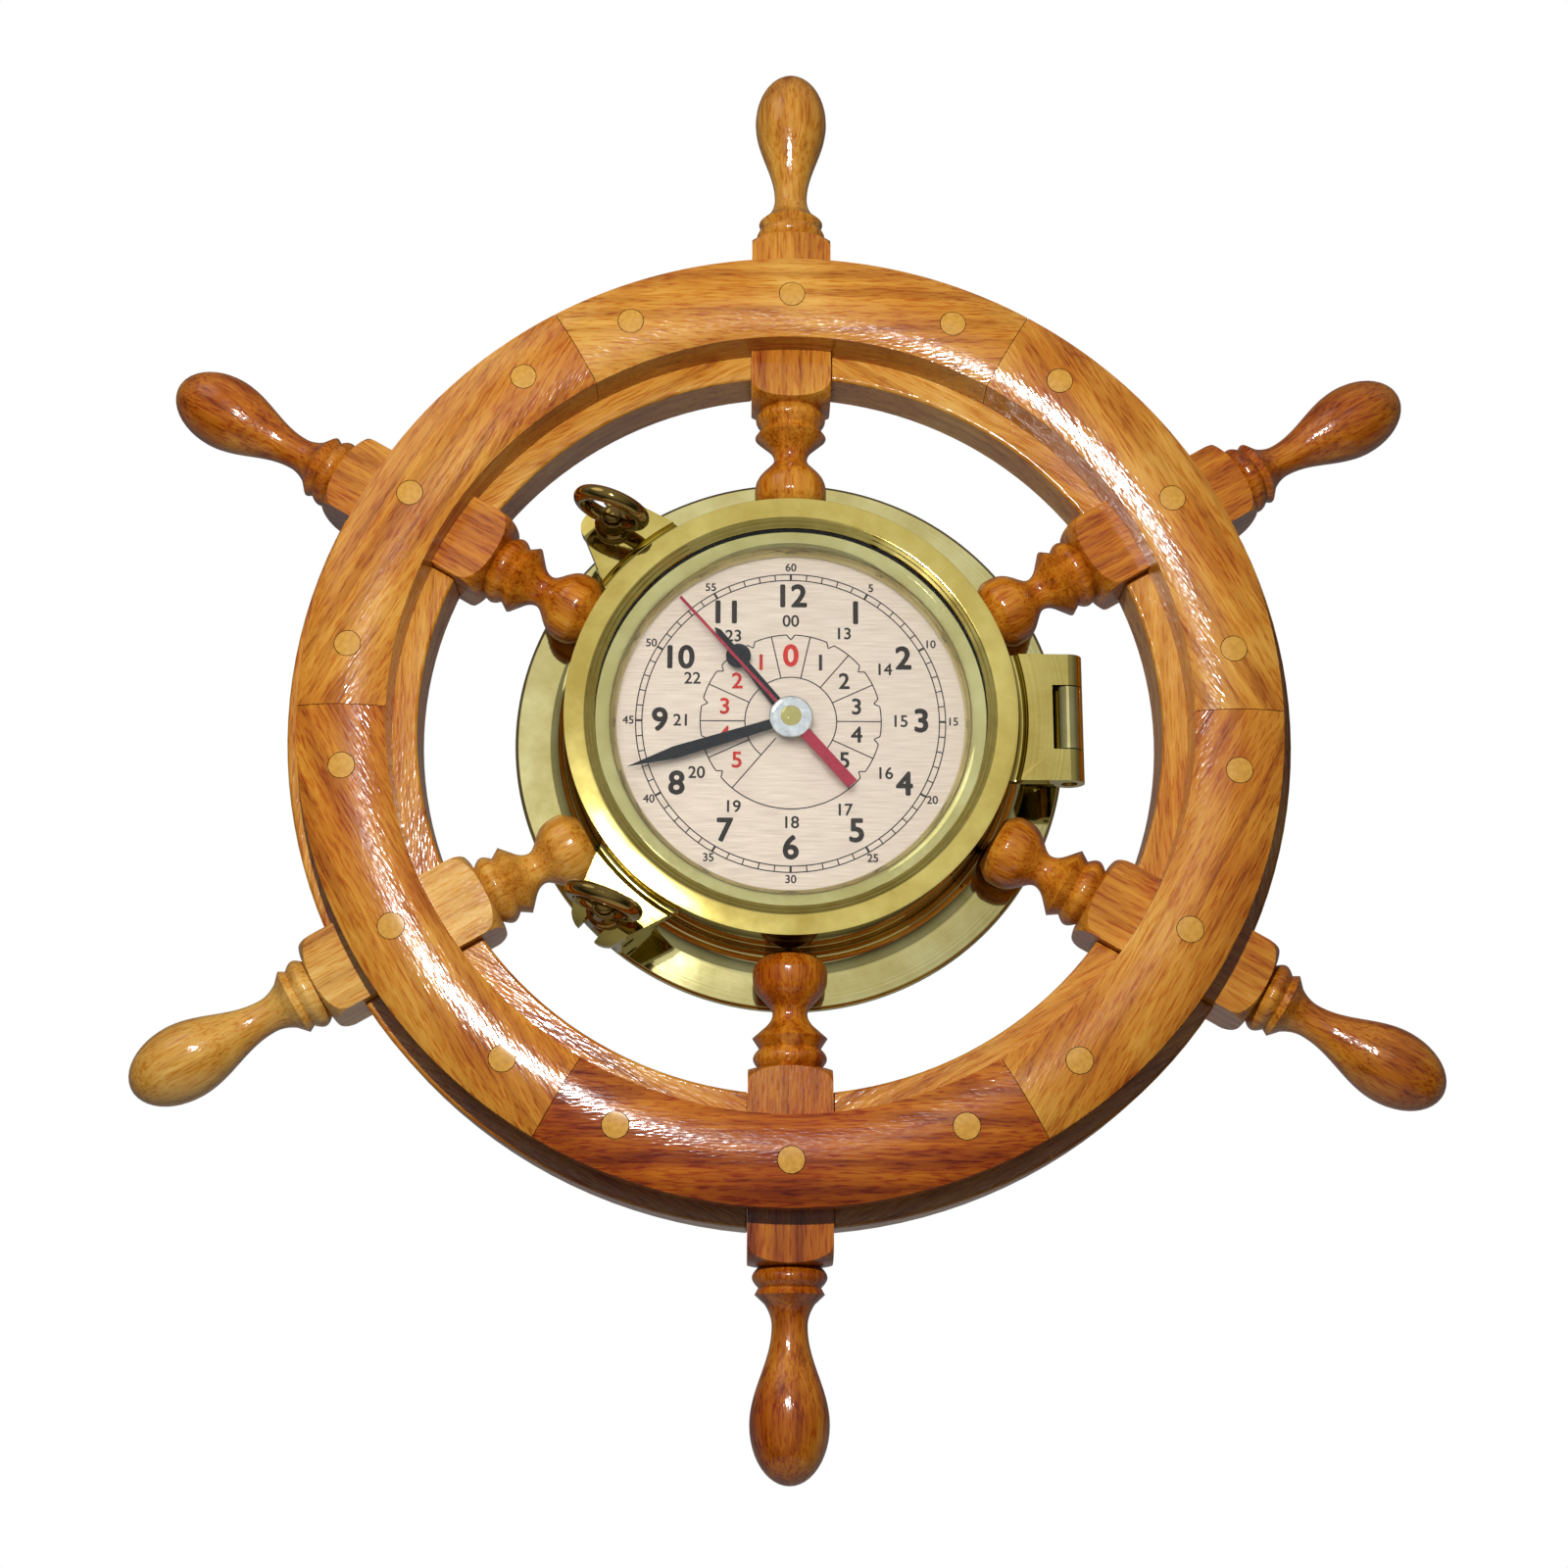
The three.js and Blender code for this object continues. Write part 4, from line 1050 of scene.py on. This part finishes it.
class CLOCK_OT_door(bpy.types.Operator):
    """The door ring with its hinge knuckles and forked ears"""

    bl_idname = "ship_clock.door"
    bl_label = "Door ring"

    def execute(self, context):
        port = context.scene.porthole_looks
        lip_back = near_side("glass") + FIT
        reeds = []
        for reed in range(REEDS):
            radius = LIP_R + (REEDS - reed) * REED_WIDTH
            front = DOOR_FRONT - reed * REED_DROP
            reeds += [(radius, front), (radius - REED_TREAD[0], front - REED_TREAD[1])]
        outline = [
            (POCKET_R, DOOR_BACK),
            (BODY_R, DOOR_BACK),
            (BODY_R, DOOR_FRONT),
            *reeds,
            (LIP_R, DOOR_FRONT - REEDS * REED_DROP),
            (LIP_R, lip_back),
            (POCKET_R, lip_back),
        ]
        ring = turned("door_frame", outline, PORTHOLE_STEPS)
        ease_edges(ring, FACE_EDGE, segments=3, sharper_than=60)
        half = HINGE_HEIGHT / 2
        far = 2 * HINGE_X
        leaf = box("leaf", GLASS_R, HINGE_X, -half, half, DOOR_BACK, EAR_FRONT)
        arms = [leaf] + [ear(angle) for angle in DOG_ANGLES.values()]
        groove_r = BODY_R + GROOVE_R - FIT
        groove = arc(groove_r, EAR_FRONT, GROOVE_R, 360, 180, count=14)
        groove += [(groove_r - GROOVE_R, far), (groove_r + GROOVE_R, far)]
        for arm in arms:
            carve(arm, turned("groove", groove, PORTHOLE_STEPS))
            carve(arm, post("pocket", ORIGIN, POCKET_R + ARM_SETBACK, 0, far, PORTHOLE_STEPS))
        carve(leaf, cross_rod("barrel", HINGE_AT, KNUCKLE_R, HINGE_HEIGHT, ALONG_Z), "UNION")
        half = KNUCKLE_HEIGHT / 2 + KNUCKLE_GAP
        carve(leaf, box("notch", HINGE_X - KNUCKLE_R - KNUCKLE_GAP, far, -half, half, 0, far))
        carve(leaf, cross_rod("pin_way", HINGE_AT, HINGE_PIN_R + FIT, 2 * HINGE_HEIGHT, ALONG_Z))
        for arm in arms:
            ease_edges(arm, port.edge / MM)
        door = joined(ring, *arms)
        finish = {"clean": port.door, "dull": port.door_dark, "satin": (EAR_FRONT - FIT, DOOR_FRONT + FIT)}
        look = material("turned_brass_door", brass, port=port, **finish)
        finished(door, "door", "brass", look, "door_ring")
        return {"FINISHED"}


class CLOCK_OT_glazing(bpy.types.Operator):
    """The glass with ground edges, and the ring that holds it from behind"""

    bl_idname = "ship_clock.glazing"
    bl_label = "Glass and retainer"

    def execute(self, context):
        port = context.scene.porthole_looks
        pane = post("pane", ORIGIN, GLASS_R, wall_side("glass"), near_side("glass"), PORTHOLE_STEPS)
        ease_edges(pane, port.edge / MM, segments=1)
        finished(pane, "door", "glass", material("float_glass", window_glass, tint=port.glass), "glass")
        back, front = wall_side("glass_retainer"), near_side("glass_retainer")
        inner = SPIGOT_R + 2 * FIT
        outline = [(inner, back), (GLASS_R, back), (GLASS_R, front), (inner, front)]
        ring = turned("retaining_ring", outline, PORTHOLE_STEPS)
        ease_edges(ring, port.edge / MM)
        finished(ring, "door", "brass", polished_brass(context), "glass_retainer")
        return {"FINISHED"}


class CLOCK_OT_pins(bpy.types.Operator):
    """The hinge pin and the two dogs' pins, with chamfered ends"""

    bl_idname = "ship_clock.pins"
    bl_label = "Pins"

    def execute(self, context):
        edge = context.scene.porthole_looks.edge / MM
        low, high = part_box("hinge_pin")
        length = (high.z - low.z) / MM
        pin = cross_rod("hinge_rod", middle("hinge_pin"), HINGE_PIN_R, length, ALONG_Z)
        ease_edges(pin, edge, segments=1)
        finished(pin, "wheel", "brass", polished_brass(context), "hinge_pin")
        rod = cross_rod("rod", DOG_PIVOT_AT, DOG_PIN_R, DOG_PIN_LENGTH, ALONG_X)
        ease_edges(rod, edge, segments=1)
        for side, angle in DOG_ANGLES.items():
            piece = copy_of(rod, f"{side}_dog_rod", angle)
            finished(piece, "wheel", "brass", aged_brass(context), f"{side}_dog_pin")
        delete(rod)
        return {"FINISHED"}


class CLOCK_OT_dogs(bpy.types.Operator):
    """Two swing bolts: an eye, a shank and a thread under the nut"""

    bl_idname = "ship_clock.dogs"
    bl_label = "Swing bolts"

    def execute(self, context):
        end = near_side("upper_dog_bolt")
        root_r = DOG_SHANK_R - DOG_THREAD_DEPTH
        outline = [(0, DOG_PIVOT), (DOG_SHANK_R, DOG_PIVOT), (DOG_SHANK_R, EAR_FRONT - 2 * DOG_THREAD_PITCH)]
        height = EAR_FRONT - DOG_THREAD_PITCH
        while height < end - 2 * DOG_THREAD_PITCH:
            outline += [(root_r, height), (DOG_SHANK_R, height + DOG_THREAD_PITCH / 2)]
            height += DOG_THREAD_PITCH
        outline += swapped(rounded_end(end - DOG_THREAD_PITCH, end, DOG_SHANK_R, count=6))
        points = [Vector((radius, -front, DOG_R)) for radius, front in outline]
        bolt = spun("bolt", points, steps=32, centre=Vector((0, 0, DOG_R)))
        eye = cross_rod("eye", DOG_PIVOT_AT, DOG_EYE_R, DOG_SLOT - 2 * FIT, ALONG_X)
        ease_edges(eye, context.scene.porthole_looks.edge / MM)
        carve(bolt, eye, "UNION")
        carve(bolt, cross_rod("hole", DOG_PIVOT_AT, DOG_PIN_R + FIT, LUG_ROOT, ALONG_X))
        for side, angle in DOG_ANGLES.items():
            piece = copy_of(bolt, f"{side}_swing_bolt", angle)
            finished(piece, f"{side}_dog", "brass", aged_brass(context), f"{side}_dog_bolt")
        delete(bolt)
        return {"FINISHED"}


class CLOCK_OT_ring_nuts(bpy.types.Operator):
    """Two cast ring nuts: a hub that flows into its ring"""

    bl_idname = "ship_clock.ring_nuts"
    bl_label = "Ring nuts"

    def execute(self, context):
        rounded = {"reach": NUT_BASE_ROUND, "start": 0, "end": 90, "count": 5}
        outline = [
            (0, 0),
            (NUT_BASE_R, 0),
            *arc(NUT_BASE_R - NUT_BASE_ROUND, NUT_BASE_THICK - NUT_BASE_ROUND, **rounded),
            (NUT_HUB_R, NUT_BASE_THICK + NUT_BASE_ROUND),
            (NUT_HUB_R - NUT_BASE_ROUND, NUT_HUB_HEIGHT),
            (0, NUT_HUB_HEIGHT),
        ]
        hub = turned("hub", outline, steps=64, closed=False)
        wire = arc(NUT_RING_R, 0, NUT_WIRE_R, 0, 360, count=24)
        points = [Vector((radius, -NUT_RING_HEIGHT, height)) for radius, height in wire]
        ring = spun("ring", points, steps=72, axis=ALONG_Z, centre=Vector((0, -NUT_RING_HEIGHT, 0)))
        nut = joined(hub, ring)
        modify(nut, "REMESH", mode="VOXEL", voxel_size=NUT_CASTING_GRAIN * MM)
        modify(nut, "SMOOTH", factor=0.5, iterations=10)
        carve(nut, post("bore", ORIGIN, DOG_SHANK_R + FIT, -NUT_BASE_ROUND, NUT_HUB_HEIGHT + NUT_WIRE_R))
        for side, angle in DOG_ANGLES.items():
            piece = copy_of(nut, f"{side}_cast_nut", NUT_TURN, on_clock(DOG_R, angle, NUT_SEAT))
            finished(piece, f"{side}_nut", "brass", aged_brass(context), f"{side}_ring_nut", smooth_below=50)
        delete(nut)
        return {"FINISHED"}


# Clock


class CLOCK_OT_dial(bpy.types.Operator):
    """The dial's sheet"""

    bl_idname = "ship_clock.dial"
    bl_label = "Dial"

    def execute(self, context):
        clock = context.scene.clock_looks
        outline = [(BUSH_R, DIAL_BACK), (DIAL_R, DIAL_BACK), (DIAL_R, DIAL_FRONT), (BUSH_R, DIAL_FRONT)]
        sheet = turned("dial_sheet", outline, PORTHOLE_STEPS)
        ease_edges(sheet, DIAL_EDGE, segments=1)
        look = material("anodised_aluminium", dial_metal, dark=clock.dial_dark, light=clock.dial)
        finished(sheet, "wheel", "dial_metal", look, "dial")
        return {"FINISHED"}


def arc_line(radius, start, end):
    """A printed arc between two clock angles."""
    points = [on_clock(radius + side, start, PRINT_FRONT) for side in (-LINE / 2, LINE / 2)]
    steps = max(ARC_LEAST_STEPS, int((end - start) / ARC_STEP_DEGREES))
    return spun("arc", points, steps, turn=radians(end - start))


def straight_line(start, end, width=LINE):
    """A printed line between two (radius, clock angle) points."""
    a, b = on_clock(*start, PRINT_FRONT), on_clock(*end, PRINT_FRONT)
    side = (b - a).cross(ALONG_Y).normalized() * width / 2
    piece = line_through("line", [a - side, b - side, b + side, a + side, a - side])
    bpy.ops.mesh.edge_face_add()
    closed_up()
    return piece


def tick_marks(count, inner, outer, width):
    """Printed marks all round, modelled once and spun."""
    piece = straight_line((inner, 0), (outer, 0), width)
    select(piece)
    bpy.ops.object.mode_set(mode="EDIT")
    bpy.ops.mesh.select_all(action="SELECT")
    bpy.ops.mesh.spin(steps=count, dupli=True, angle=FULL_TURN, center=(0, 0, 0), axis=ALONG_Y)
    closed_up()
    return piece


def printed(text, size, radius, angle, weight):
    """An upright number; its weight thickens the strokes by printing it again a little to each side."""
    place = on_clock(radius, angle, PRINT_FRONT)
    sides = [ORIGIN]
    for layer, t in enumerate(shares(BOLD_PRINTS)[1:], start=1):
        around = t * FULL_TURN
        sides.append(Vector((weight * cos(around), -LAYER * layer, weight * sin(around))))
    prints = []
    for side in sides:
        bpy.ops.object.select_all(action="DESELECT")
        bpy.ops.object.text_add(location=(place + side) * MM, rotation=(pi / 2, 0, 0))
        piece = bpy.context.object
        piece.data.body = text
        piece.data.size = size * MM / CAPITAL_SHARE
        piece.data.align_x = "CENTER"
        piece.data.align_y = "CENTER"
        bpy.ops.object.convert(target="MESH")
        bpy.ops.object.transform_apply(location=True, rotation=True, scale=True)
        prints.append(bpy.context.object)
    return joined(*prints)


def minute_track():
    """Two rings with a mark for each minute between them, bolder at the hours."""
    rings = [arc_line(radius, 0, 360) for radius in TRACK_R]
    return rings + [tick_marks(MINUTES, *TRACK_R, LINE), tick_marks(HOURS, *TRACK_R, BOLD_LINE)]


def hour_numbers(size):
    """Both rounds of hours, and the minutes outside the track."""
    prints = []
    for hour in range(1, HOURS + 1):
        angle = hour * 360 / HOURS
        beside = sin(radians(angle)) ** 2
        radius = beside * DAY_HOUR_R["side"] + (1 - beside) * DAY_HOUR_R["upright"]
        day_hour = str(hour + HOURS) if hour < HOURS else "00"
        minute = str(hour * MINUTES // HOURS)
        prints += [
            printed(str(hour), size, HOUR_R, angle, HOUR_WEIGHT),
            printed(day_hour, DAY_HOUR_SIZE, radius, angle + ASIDE.get(hour, 0), DAY_HOUR_WEIGHT),
            printed(minute, MINUTE_SIZE, MINUTE_R, angle, MINUTE_WEIGHT),
        ]
    return prints


def sector_lines():
    """A ring of sectors: an outer line with a notch in each, an inner line and the lines between them."""
    last = SECTOR_EDGES[-1]
    edges = [-angle for angle in reversed(SECTOR_EDGES)] + list(SECTOR_EDGES)
    prints = [arc_line(SECTOR_R, last, 360 - last), arc_line(SECTOR_INNER_R, -last, last)]
    for start, end in zip(edges, edges[1:]):
        notch = (start + end) / 2
        prints.append(arc_line(SECTOR_R, start, notch - NOTCH_ANGLE))
        prints.append(arc_line(SECTOR_R, notch + NOTCH_ANGLE, end))
        for side in (-NOTCH_ANGLE, NOTCH_ANGLE):
            prints.append(straight_line((SECTOR_R, notch + side), (SECTOR_R - NOTCH_DEPTH, notch)))
    for angle in edges:
        root = SECTOR_ROOT_R if abs(angle) == last else SECTOR_INNER_R
        prints.append(straight_line((root, angle), (SECTOR_R, angle)))
    return prints


def faced_front(piece):
    """Turns every printed face to the front."""
    select(piece)
    bpy.ops.object.mode_set(mode="EDIT")
    bpy.ops.mesh.select_all(action="DESELECT")
    bpy.ops.object.mode_set(mode="OBJECT")
    for face in piece.data.polygons:
        face.select = face.normal.y > 0
    bpy.ops.object.mode_set(mode="EDIT")
    bpy.ops.mesh.flip_normals()
    bpy.ops.object.mode_set(mode="OBJECT")


class CLOCK_OT_dial_print(bpy.types.Operator):
    """The dial's minute track, numbers and sectors"""

    bl_idname = "ship_clock.dial_print"
    bl_label = "Dial print"

    def execute(self, context):
        clock = context.scene.clock_looks
        black = minute_track() + hour_numbers(clock.hour_size / MM) + sector_lines()
        red = [printed("0", TOP_ORDER_SIZE, ORDER_R, 0, TOP_ORDER_WEIGHT)]
        for order, (start, end) in enumerate(zip(SECTOR_EDGES, SECTOR_EDGES[1:]), start=1):
            angle = (start + end) / 2
            black.append(printed(str(order), ORDER_SIZE, ORDER_R, angle, ORDER_WEIGHT))
            red.append(printed(str(order), ORDER_SIZE, ORDER_R, -angle, ORDER_WEIGHT))
        for prints, name, slot, ink_name, ink in (
            (black, "dial_print", "black_paint", "printing_ink", clock.ink),
            (red, "dial_print_red", "red_paint", "red_printing_ink", clock.red_ink),
        ):
            piece = joined(*prints)
            piece.name = name
            faced_front(piece)
            look = material(ink_name, painted, dark=shaded(ink, share=0.8), light=ink, roughness=0.45)
            finished(piece, "wheel", slot, look)
        return {"FINISHED"}


def hand_blade(hand, outline, boss_r, tube_r, blob=None):
    """A flat hand at twelve o'clock with a boss round its tube."""
    back, front = wall_side(f"{hand}_hand"), near_side(f"{hand}_hand")
    piece = plate(f"{hand}_flat", outline, back, front)
    carve(piece, post("boss", ORIGIN, boss_r, back, front), "UNION")
    if blob:
        reach, radius = blob
        carve(piece, post("blob", Vector((0, 0, reach)), radius, back, front), "UNION")
    carve(piece, post("tube", ORIGIN, tube_r, 0, 2 * front))
    ease_edges(piece, HAND_EDGE)
    return piece


def hang_hand(piece, hand, angle, slot, look):
    """Turns a hand to the time and hangs it on its body."""
    placed = copy_of(piece, f"{hand}_blade", angle)
    delete(piece)
    finished(placed, hand, slot, look, f"{hand}_hand")


class CLOCK_OT_hands(bpy.types.Operator):
    """The hour and minute hands, and the second hand with its domed cap"""

    bl_idname = "ship_clock.hands"
    bl_label = "Hands"

    def execute(self, context):
        clock = context.scene.clock_looks
        black = {"dark": shaded(clock.hands, share=0.6), "light": clock.hands, "roughness": 0.32}
        enamel = material("black_enamel", painted, **black)
        half, tip = HOUR_WIDTH / 2, HOUR_TIP_WIDTH / 2
        tip_z = HOUR_LENGTH - HOUR_TIP_WIDTH
        stem = [(-half, 0), (half, 0), (tip, tip_z), (0, HOUR_LENGTH), (-tip, tip_z)]
        hour = hand_blade("hour", stem, HOUR_BOSS_R, HOUR_TUBE_R, (HOUR_BLOB_AT, HOUR_BLOB_R))
        hang_hand(hour, "hour", HOUR_ANGLE, "black_paint", enamel)
        root, half = MINUTE_ROOT_WIDTH / 2, MINUTE_WIDTH / 2
        leaf = [(-root, 0), (root, 0), (half, MINUTE_SHOULDER), (0, MINUTE_LENGTH), (-half, MINUTE_SHOULDER)]
        minute = hand_blade("minute", leaf, MINUTE_BOSS_R, MINUTE_TUBE_R)
        hang_hand(minute, "minute", MINUTE_ANGLE, "black_paint", enamel)
        back, front = wall_side("second_hand"), near_side("second_hand")
        blade_front = back + HAND_THICK
        half, tail = SECOND_WIDTH / 2, SECOND_TAIL_WIDTH / 2
        right = [(tail, -SECOND_TAIL), (tail, 0), (half, 0), (half, SECOND_LENGTH)]
        left = [(-x, z) for x, z in reversed(right)]
        needle = plate("second_needle", right + left, back, blade_front)
        ease_edges(needle, SECOND_EDGE)
        red = {"dark": shaded(clock.second, share=0.7), "light": clock.second, "roughness": 0.35}
        hang_hand(needle, "second", SECOND_ANGLE, "red_paint", material("crimson_enamel", painted, **red))
        dome = swapped(rounded_end(blade_front, front, CAP_R, count=14))
        cap = turned("second_cap", [(0, blade_front), *dome], steps=72, closed=False)
        chrome = {"dark": linear("#c9ccd6"), "light": linear("#eceef4"), "roughness": 0.08}
        finished(cap, "second", "steel", material("chromed_brass", bright_metal, **chrome))
        foot = front - CAP_STUD_SINK
        dome = swapped(rounded_end(foot, front + CAP_STUD_RISE, CAP_STUD_R, count=8))
        stud = turned("second_stud", [(0, foot), *dome], ROD_STEPS, closed=False)
        finished(stud, "second", "brass", polished_brass(context))
        return {"FINISHED"}


class CLOCK_OT_inner_works(bpy.types.Operator):
    """Finishes for the pieces behind the dial and under the flange that keep their CAD shape"""

    bl_idname = "ship_clock.inner_works"
    bl_label = "Inner works"

    def execute(self, context):
        plastic = {"dark": linear("#151517"), "light": linear("#232326"), "roughness": 0.55}
        zinc = {"dark": linear("#9a9da2"), "light": linear("#c6c9cc"), "roughness": 0.22}
        looks = {"movement": material("moulded_abs", painted, **plastic)}
        looks |= {node: polished_brass(context) for node in ("dial_ring", "dial_nut")}
        steel = material("zinc_plated_steel", bright_metal, **zinc)
        looks |= {f"flange_screw_{number + 1}": steel for number in range(SPOKES)}
        for node, look in looks.items():
            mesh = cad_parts[node].data
            mesh.materials.clear()
            mesh.materials.append(look)
        return {"FINISHED"}


# Stage


def light_room(scene):
    """A world that is white to the camera and through glass, a room to mirrors, and dim to matt surfaces."""
    world = bpy.data.worlds.new("white_room")
    scene.world = world
    world.use_nodes = True
    tree = world.node_tree
    tree.nodes.clear()
    ray = tree.nodes.new("ShaderNodeLightPath").outputs
    looking = add(tree, "TexCoord", output="Generated")
    way = add(tree, "SeparateXYZ", {"Vector": looking}).node.outputs
    toward = add(tree, "VectorMath", {0: looking, 1: WINDOW_WAY}, output="Value", operation="DOT_PRODUCT")
    # The room runs from a dim floor to a bright ceiling, which gives the brass its depth. The satin faces
    # mirror a window over the camera and the pale wall round it. Behind, a lit lower wall gives the polished
    # back something to mirror, and a glow lights its wood.
    level = {}
    for name, direction, (start, end), low, high, fade in (
        ("room", way["Z"], SKY_EDGE, GROUND_LEVEL, SKY_LEVEL, "SMOOTHSTEP"),
        ("window", toward, WINDOW_EDGE, 0.0, WINDOW_LEVEL, "SMOOTHSTEP"),
        ("front_wall", toward, FRONT_EDGE, 0.0, FRONT_LEVEL, "LINEAR"),
        ("backdrop", way["Z"], BACKDROP_EDGE, LOW_BACKDROP_LEVEL, BACKDROP_LEVEL, "LINEAR"),
        ("behind", way["Y"], BEHIND_EDGE, 0.0, 1.0, "LINEAR"),
        ("back_glow", way["Y"], BACK_GLOW_EDGE, 0.0, BACK_GLOW, "LINEAR"),
    ):
        limits = {"From Min": start, "From Max": end, "To Min": low, "To Max": high}
        level[name] = add(tree, "MapRange", {"Value": direction, **limits}, interpolation_type=fade)
    around = {"Value": level["behind"], "To Min": level["room"]}
    mirrored = add(tree, "MapRange", {**around, "To Max": level["backdrop"]})
    for bright in (level["window"], level["front_wall"], ray["Is Camera Ray"], ray["Is Transmission Ray"]):
        mirrored = add(tree, "Math", {0: mirrored, 1: bright}, operation="MAXIMUM")
    ambient = add(tree, "MapRange", {**around, "To Max": BEHIND_LEVEL})
    ambient = add(tree, "Math", {0: ambient, 1: level["back_glow"]}, operation="MAXIMUM")
    seen = ray["Is Camera Ray"]
    for kind in ("Is Glossy Ray", "Is Transmission Ray"):
        seen = add(tree, "Math", {0: seen, 1: ray[kind]}, operation="MAXIMUM")
    strength = add(tree, "MapRange", {"Value": seen, "To Min": ambient, "To Max": mirrored})
    sky = add(tree, "Background", {"Color": (1, 1, 1, 1), "Strength": strength})
    add(tree, "OutputWorld", {"Surface": sky})


def lamp(name, power, place, size):
    """A round lamp aimed at the clock's middle."""
    bpy.ops.object.light_add(type="AREA", location=place)
    light = bpy.context.object
    light.name = name
    light.data.shape = "DISK"
    light.data.size = size
    light.data.energy = power
    light.rotation_euler = (-Vector(place)).to_track_quat("-Z", "Y").to_euler()
    return light


class CLOCK_OT_stage(bpy.types.Operator):
    """White surroundings, a pale floor, two lamps and the camera"""

    bl_idname = "ship_clock.stage"
    bl_label = "Stage"

    def execute(self, context):
        scene = context.scene
        stage = scene.stage_looks
        scene.view_settings.view_transform = "Standard"
        light_room(scene)
        bpy.ops.object.select_all(action="DESELECT")
        disc = {"vertices": 96, "radius": FLOOR_R, "fill_type": "NGON"}
        bpy.ops.mesh.primitive_circle_add(**disc, location=(0, 0, FLOOR_LEVEL))
        floor = context.object
        floor.name = "floor"
        floor.data.materials.append(material("pale_floor", painted_board, colour=stage.floor))
        for light in (
            lamp("key_lamp", stage.key, **KEY_LAMP),
            lamp("upper_lamp", stage.fill, **UPPER_LAMP),
        ):
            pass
        bpy.ops.object.camera_add(location=CAMERA_PLACE)
        camera = context.object
        camera.name = "camera"
        camera.rotation_mode = "ZYX"
        camera.rotation_euler = [radians(angle) for angle in CAMERA_TILT]
        camera.data.lens = CAMERA_LENS_MM
        camera.data.sensor_width = CAMERA_SENSOR_MM
        scene.camera = camera
        return {"FINISHED"}


OPERATORS = (
    CLOCK_OT_spokes,
    CLOCK_OT_rim_segments,
    CLOCK_OT_felloes,
    CLOCK_OT_plugs,
    CLOCK_OT_body,
    CLOCK_OT_door,
    CLOCK_OT_glazing,
    CLOCK_OT_pins,
    CLOCK_OT_dogs,
    CLOCK_OT_ring_nuts,
    CLOCK_OT_dial,
    CLOCK_OT_dial_print,
    CLOCK_OT_hands,
    CLOCK_OT_inner_works,
    CLOCK_OT_stage,
)
SETTINGS = {
    "wheel_looks": WheelLooks,
    "porthole_looks": PortholeLooks,
    "clock_looks": ClockLooks,
    "stage_looks": StageLooks,
}


class CLOCK_PT_panel(bpy.types.Panel):
    """Lists the clock's pieces in the order they are made"""

    bl_label = "Ship wheel clock"
    bl_idname = "CLOCK_PT_panel"
    bl_space_type = "VIEW_3D"
    bl_region_type = "UI"
    bl_category = "Ship clock"

    def draw(self, context):
        for setting in SETTINGS:
            group = getattr(context.scene, setting)
            for name in group.__annotations__:
                self.layout.prop(group, name)
        for operator in OPERATORS:
            self.layout.operator(operator.bl_idname)


CLASSES = (*SETTINGS.values(), *OPERATORS, CLOCK_PT_panel)


def register():
    for item in CLASSES:
        bpy.utils.register_class(item)
    for name, group in SETTINGS.items():
        setattr(bpy.types.Scene, name, PointerProperty(type=group))


def unregister():
    for name in SETTINGS:
        delattr(bpy.types.Scene, name)
    for item in reversed(CLASSES):
        bpy.utils.unregister_class(item)


def main():
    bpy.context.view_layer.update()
    register()
    for operator in OPERATORS:
        group, name = operator.bl_idname.split(".")
        getattr(getattr(bpy.ops, group), name)()


if __name__ == "__main__":
    main()
